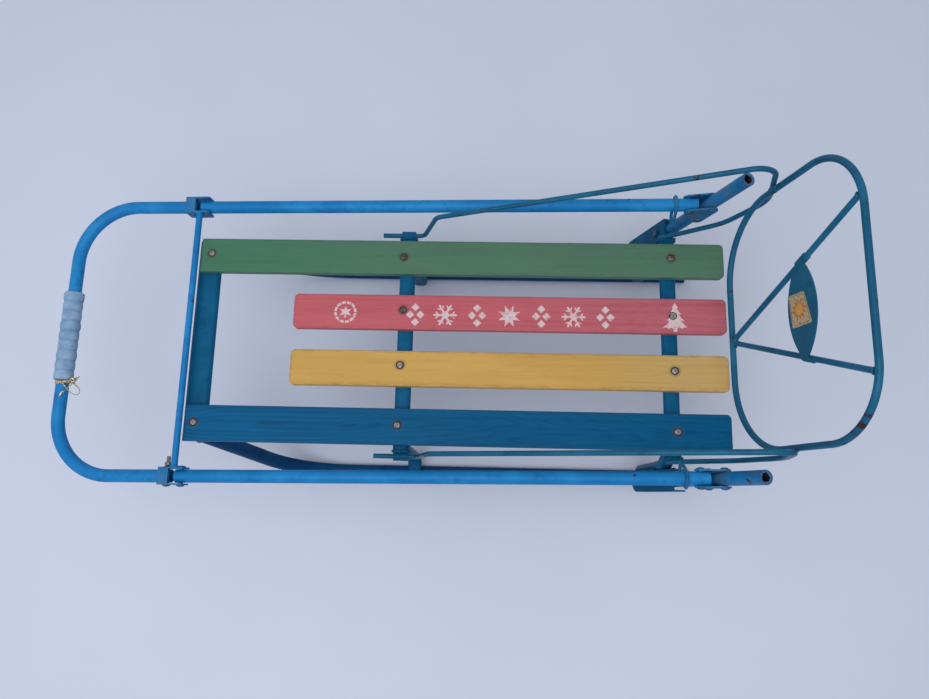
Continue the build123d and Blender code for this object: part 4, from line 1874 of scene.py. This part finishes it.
@dataclass
class Hinges:
    """Posts, cheeks, lock rings and handle tubes, with their pins and bolts."""

    pin: Point = (-0.3557, 0.1658, 0.2700)
    post_top: Point = (-0.37664, 0.1658, 0.26360)
    post_way: Point = (-0.29237, 0.0, 0.95630)
    rivets: tuple[Pair, ...] = ((-0.38074, 0.27699), (-0.37138, 0.24638))
    bolt_place: Pair = (-0.34741, 0.16797)
    bolt_way: Point = (0.95630, 0.0, 0.29237)
    grip_half: float = 0.0105
    pin_radius: float = 0.0030
    head_radius: float = 0.0050
    head_height: float = 0.0023
    bolt_head: tuple[Pair, ...] = (
        (0.0044, 0.01018), (0.0050, 0.01050), (0.0050, 0.01330), (0.0044, 0.01400),
    )
    bolt_nut: tuple[Pair, ...] = (
        (0.0044, -0.01320), (0.0050, -0.01270), (0.0050, -0.00910), (0.0044, -0.00865),
    )
    bolt_washer: tuple[Pair, ...] = ((0.0052, -0.00862), (0.0052, -0.00810))
    bolt_span: Pair = (-0.0080, 0.0103)
    thread_span: Pair = (-0.0148, -0.0079)
    thread_turns: int = 7
    thread_pitch: float = 0.0010
    thread_root: float = 0.0026
    front_pin: Point = (0.2623, 0.1750, 0.2235)
    tube_radius: float = 0.0080
    tube_wall: float = 0.0015
    bore_margin: float = 0.0005
    lip_radius: float = 0.0049
    lip_outside: tuple[Pair, ...] = (
        (0.00775, -0.0003), (0.00765, 0.00025), (0.0070, 0.00055), (0.0060, 0.0004),
    )
    lip_ragged: Pair = (0.00035, 0.00022)

    def build(self) -> None:
        """Paint the nodes and add the rims, the pins and the bolts."""
        run = Vector(self.front_pin) - Vector(self.pin)
        bore = self.tube_radius - self.tube_wall + self.bore_margin
        tubes = Enamel(
            "handle_enamel", HANDLE_PAINT, HANDLE_PALE, HANDLE_DARK, roughness=0.40, chips=0.70,
            peel=0.00004, peel_size=700.0, bores=(Bore(self.pin, tuple(run), bore),),
            spots=(
                Spot((-0.2823, -0.1724, 0.2700), 0.0018), Spot((-0.2806, 0.1643, 0.2710), 0.0019),
            ),
        )
        posts = Enamel(
            "post_enamel", (0.0035, 0.118, 0.310), (0.0080, 0.160, 0.390), HANDLE_DARK,
            roughness=0.42, chips=0.66, dust=0.42,
            bores=(Bore(self.post_top, self.post_way, bore),),
        )
        hinge = Enamel(
            "hinge_enamel", (0.0040, 0.110, 0.275), (0.0100, 0.150, 0.340), (0.0030, 0.055, 0.140),
            roughness=0.45, chips=0.625, dust=0.30,
        )
        paint_nodes(tubes.make(), *both("handle_tube"))
        paint_nodes(posts.make(), *both("post"))
        paint_nodes(hinge.make(), *both("hinge_cheeks"), *both("lock_ring"))
        self.lips()
        self.pins()
        self.bolts()

    def lips(self) -> None:
        """Add the rolled-in, ragged rim round the mouth of each post."""
        way = Vector(self.post_way).normalized()
        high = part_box("post_left")[1][2] - self.tube_radius * abs(way.x)
        mouth = Vector(self.post_top) + way * ((high - self.post_top[2]) / way.z)
        broad, fine = self.lip_ragged
        shape = Shape()
        for sign in (1, -1):
            stand = way.to_track_quat("Z", "Y").to_matrix().to_4x4()
            stand.translation = (mouth.x, sign * mouth.y, mouth.z)
            rings = []
            for angle in angles(48):
                ragged = broad * math.sin(3 * angle + sign) + fine * math.sin(8 * angle + 2)
                inner = self.lip_radius + ragged
                profile = (
                    *self.lip_outside, (inner, -0.0004), (inner + 0.0001, -0.0016),
                    (inner + 0.0007, -0.0018), (0.0067, -0.0011),
                )
                rings.append([
                    stand @ Vector((r * math.cos(angle), r * math.sin(angle), z))
                    for r, z in profile
                ])
            shape.skin(rings, joined=True)
        paint = Enamel(
            "lip_enamel", (0.020, 0.105, 0.235), (0.070, 0.165, 0.300), (0.012, 0.050, 0.120),
            roughness=0.5, chips=0.56, dust=0.4,
        ).make()
        hand_over(shape.piece("post_lips", paint), Body.SLED, Slot.HANDLE)

    def pins(self) -> None:
        """Stamp the rivets and hinge pins through the cheeks."""
        pin_x, y, pin_z = self.pin
        stands = [
            Stand((x, sign * y, z), (0.0, float(sign), 0.0))
            for sign in (1, -1) for x, z in (*self.rivets, (pin_x, pin_z))
        ]
        shape = domed_pin(self.grip_half, self.pin_radius, self.head_radius, self.head_height)
        Stamps(
            "hinge_rivets", shape, stands, rivet_paint("hinge_rivet_paint").make(), Body.SLED,
            Slot.RIVET, (*both("post_rivets"), *both("hinge_pin")), seed=9,
        ).build()

    def bolts(self) -> None:
        """Stamp the hexagon bolts that hold the posts in their brackets."""
        shank, root = self.pin_radius, self.thread_root
        low, high = self.thread_span
        thread = threads(low, self.thread_turns, self.thread_pitch, root, shank)
        shape = Shape()
        shape.turned(self.bolt_head, 6)
        shape.turned(self.bolt_washer)
        shape.turned(self.bolt_nut, 6)
        shape.turned([(shank, place) for place in self.bolt_span], 20)
        shape.turned((*thread, (root, high)), 20)
        rust = Rusted(
            "bolt_rust", (0.038, 0.022, 0.017), (0.13, 0.070, 0.045), FRAME_PAINT,
            paint_share=0.40,
        )
        x, z = self.bolt_place
        stands = [Stand((x, sign * self.pin[1], z), self.bolt_way) for sign in (1, -1)]
        Stamps(
            "post_bolts", shape, stands, rust.make(), Body.SLED, Slot.RUST, both("post_bolt"),
            turn=0.4, smooth_deg=28.0,
        ).build()


@dataclass
class Bow:
    """Bent front of the handle with its channels, cross rod, foam grip and wire tie."""

    pin: Point = (0.2623, 0.1752, 0.2235)
    slope_deg: float = 4.303
    rivet_place: float = 0.0180
    channel_half: float = 0.0107
    pin_radius: float = 0.0030
    head_radius: float = 0.0050
    head_height: float = 0.0023
    nut_profile: tuple[Pair, ...] = (
        (0.0036, 0.0), (0.0042, 0.0005), (0.0042, 0.0034), (0.0036, 0.0039),
    )
    nut_off: float = 0.0022
    end_turns: int = 7
    end_pitch: float = 0.0010
    end_radii: Pair = (0.0021, 0.0025)
    end_tip: Pair = (0.0018, 0.0111)
    rod_place: Point = (0.2696, 0.0, 0.2295)
    rod_radius: float = 0.0040
    bar_place: Point = (0.4328, 0.0, 0.2107)
    tube_radius: float = 0.0080
    grip_middle: float = -0.0010
    grip_length: float = 0.1170
    grip_core: float = 0.0111
    grip_lobe: float = 0.0121
    grip_lobes: int = 9
    grip_bore: float = 0.0082
    grip_rim: float = 0.0004
    grip_edge: float = 0.0022
    grip_rows: int = 147
    grip_wobble: Pair = (0.00022, 0.00015)
    grip_groove: float = 0.0003
    strip_half: float = 0.0015
    strip_flat: float = 0.32
    strip_turns: float = 1.2
    strip_y: Pair = (0.0592, 0.0022)
    strip_steps: int = 60

    def build(self) -> None:
        """Paint the nodes and add the grip, the pins, the welds and the tie."""
        tube = Enamel(
            "bow_enamel", (0.0060, 0.158, 0.430), (0.0120, 0.205, 0.510), HANDLE_DARK,
            roughness=0.40, chips=0.70, peel=0.00004, peel_size=700.0,
        ).make()
        channel = Enamel(
            "channel_enamel", (0.0070, 0.128, 0.325), (0.0240, 0.172, 0.400),
            (0.0040, 0.070, 0.185), roughness=0.46, chips=0.65, dust=0.22,
        ).make()
        paint_nodes(tube, "bow_tube", "cross_rod")
        paint_nodes(channel, *both("bow_channel"))
        self.pins()
        self.bolt_end()
        self.grip()
        self.tie()
        self.welds(tube)

    def along(self, forward: float) -> Pair:
        """Give x and z at a place along the bow from its pin."""
        slope = math.radians(self.slope_deg)
        return self.pin[0] + forward * math.cos(slope), self.pin[2] - forward * math.sin(slope)

    def pins(self) -> None:
        """Stamp the pins and rivets of the channels."""
        stands = [
            Stand((x, sign * self.pin[1], z), (0.0, float(sign), 0.0))
            for sign in (1, -1) for x, z in (self.along(0.0), self.along(self.rivet_place))
        ]
        shape = domed_pin(self.channel_half, self.pin_radius, self.head_radius, self.head_height)
        Stamps(
            "bow_rivets", shape, stands, rivet_paint("bow_rivet_paint").make(), Body.BOW,
            Slot.RIVET, (*both("fold_pin"), *both("bow_rivet")), seed=13,
        ).build()

    def bolt_end(self) -> None:
        """Stamp the one bolt's long end that stands out of the left channel."""
        x, z = self.along(self.rivet_place)
        top = self.nut_profile[-1][1]
        thread = threads(top, self.end_turns, self.end_pitch, *self.end_radii)
        shape = Shape()
        shape.turned(self.nut_profile, 6)
        shape.turned((*thread, self.end_tip), 18)
        steel = Rusted(
            "bolt_end_steel", (0.075, 0.068, 0.064), (0.28, 0.26, 0.25), FRAME_DARK,
            paint_share=0.36, metal=0.5,
        )
        stand = Stand((x, self.pin[1] - self.channel_half - self.nut_off, z), (0.0, -1.0, 0.0))
        Stamps(
            "channel_bolt_end", shape, [stand], steel.make(), Body.BOW, Slot.RUST, turn=0.3,
            smooth_deg=28.0,
        ).build()

    def ring(self, y: float, radius: Callable[[float], float]) -> list[Vector]:
        """Give one ring of the foam sleeve.

        Args:
            y: Where it lies along the bar.
            radius: Its radius at an angle.

        Returns:
            Its points.
        """
        x, _, z = self.bar_place
        return [
            Vector((x + radius(a) * math.cos(a), y, z + radius(a) * math.sin(a)))
            for a in angles(40)
        ]

    def lobed(self, share: float) -> Callable[[float], float]:
        """Give the sleeve's outer radius at a place along it.

        Args:
            share: The place, from 0 at one end to 1 at the other.

        Returns:
            The radius as a function of the angle.
        """
        lobe = share * self.grip_lobes
        number = min(int(lobe), self.grip_lobes - 1)
        from_end = min(share, 1 - share)
        bulge = abs(math.sin(math.pi * lobe)) ** 0.75
        if from_end < 0.6 / self.grip_lobes:
            bulge = max(bulge, 0.85)
        ease = min(1.0, (from_end * self.grip_length / self.grip_edge) ** 0.5)

        def radius(angle: float) -> float:
            """Swell and squeeze the sleeve round its bar.

            Args:
                angle: Where it is measured.

            Returns:
                The outer radius.
            """
            broad, fine = self.grip_wobble
            wobble = math.sin(angle * 2 + number * 1.9) * broad
            wobble += math.sin(angle * 3 - number * 2.7 + share * 9) * fine
            wobble -= broad * ((number * 5) % 3)
            size = self.grip_core + (self.grip_lobe - self.grip_core) * bulge
            size += wobble * bulge - self.grip_groove * (1 - bulge)
            return self.grip_bore + (size - self.grip_bore) * (0.35 + 0.65 * ease)

        return radius

    def grip(self) -> None:
        """Model the lobed foam sleeve."""
        start = self.grip_middle - self.grip_length / 2
        first = self.ring(start + self.grip_rim, lambda angle: self.grip_bore)
        last = self.ring(start + self.grip_length - self.grip_rim, lambda angle: self.grip_bore)
        lobes = [
            self.ring(start + share * self.grip_length, self.lobed(share))
            for share in (row / (self.grip_rows - 1) for row in range(self.grip_rows))
        ]
        shape = Shape()
        shape.skin([first, *lobes, last], capped=False)
        shape.skin([last, first], capped=False)
        piece = shape.piece("foam_grip", SoftFoam(axis_place=self.bar_place).make(), 60.0)
        hand_over(piece, Body.BOW, Slot.FOAM, "grip")

    def tie(self) -> None:
        """Wind a strip of gilt wire round the tube beside the grip and knot it."""
        x0, _, z0 = self.bar_place
        y0, drift = self.strip_y
        reach = self.tube_radius + self.strip_half * self.strip_flat + 0.0001
        steps = self.strip_steps
        path = []
        for k in range(steps + 1):
            angle = TURN * self.strip_turns * k / steps + 0.4
            y = y0 + drift * k / steps
            path.append(Vector((x0 + reach * math.cos(angle), y, z0 + reach * math.sin(angle))))
        shape = Shape()
        shape.strip(path, self.strip_half, self.strip_flat)
        strands: tuple[tuple[float, tuple[Point, ...]], ...] = (
            (0.6, ((-0.001, 0.0600, 0.0002), (-0.0045, 0.0622, 0.0), (-0.0110, 0.0700, -0.0016),
                   (-0.0190, 0.0756, -0.0040), (-0.0246, 0.0748, -0.0050),
                   (-0.0250, 0.0690, -0.0048), (-0.0205, 0.0640, -0.0040),
                   (-0.0165, 0.0600, -0.0030), (-0.0185, 0.0565, -0.0022),
                   (-0.0238, 0.0527, -0.0030))),
            (1.2, ((-0.0165, 0.0548, -0.0040), (-0.0160, 0.0600, -0.0018),
                   (-0.0135, 0.0655, -0.0010), (-0.0095, 0.0712, -0.0002),
                   (-0.0045, 0.0755, 0.0004), (-0.0016, 0.0805, -0.0002))),
            (0.9, ((-0.0040, 0.0606, 0.0004), (-0.0125, 0.0596, 0.0006),
                   (-0.0180, 0.0622, -0.0006), (-0.0196, 0.0575, -0.0020),
                   (-0.0150, 0.0556, -0.0008), (-0.0150, 0.0612, 0.0010),
                   (-0.0205, 0.0598, 0.0004), (-0.0228, 0.0565, -0.0012))),
        )
        for twist, points in strands:
            line = curved([(x0 + x, y, z0 + reach + z) for x, y, z in points], 7)
            shape.strip(line, self.strip_half * 0.8, self.strip_flat, twist)
        hand_over(shape.piece("wire_tie", BrassWire().make()), Body.BOW, Slot.RIVET)

    def welds(self, paint: bpy.types.Material) -> None:
        """Weld the cross rod to the channels.

        Args:
            paint: The bow's paint.
        """
        x, _, z = self.rod_place
        side, radius = self.pin[1] - self.channel_half - 0.0006, self.rod_radius
        lines = [
            [Vector((x + radius * math.cos(a), sign * side, z + radius * math.sin(a)))
             for a in angles(14, 15)]
            for sign in (1, -1)
        ]
        WeldBeads(
            "bow_welds", lines, paint, Body.BOW, Slot.HANDLE, width=0.0026, seed=5
        ).build()


def main() -> None:
    """Build the scene in order."""
    logging.basicConfig(level=logging.INFO, format="%(name)s: %(message)s")
    for part in (Studio(), Seat(), Underframe(), Backrest(), Hinges(), Bow()):
        part.build()
        LOG.info("built %s", type(part).__name__)


if __name__ == "__main__":
    main()
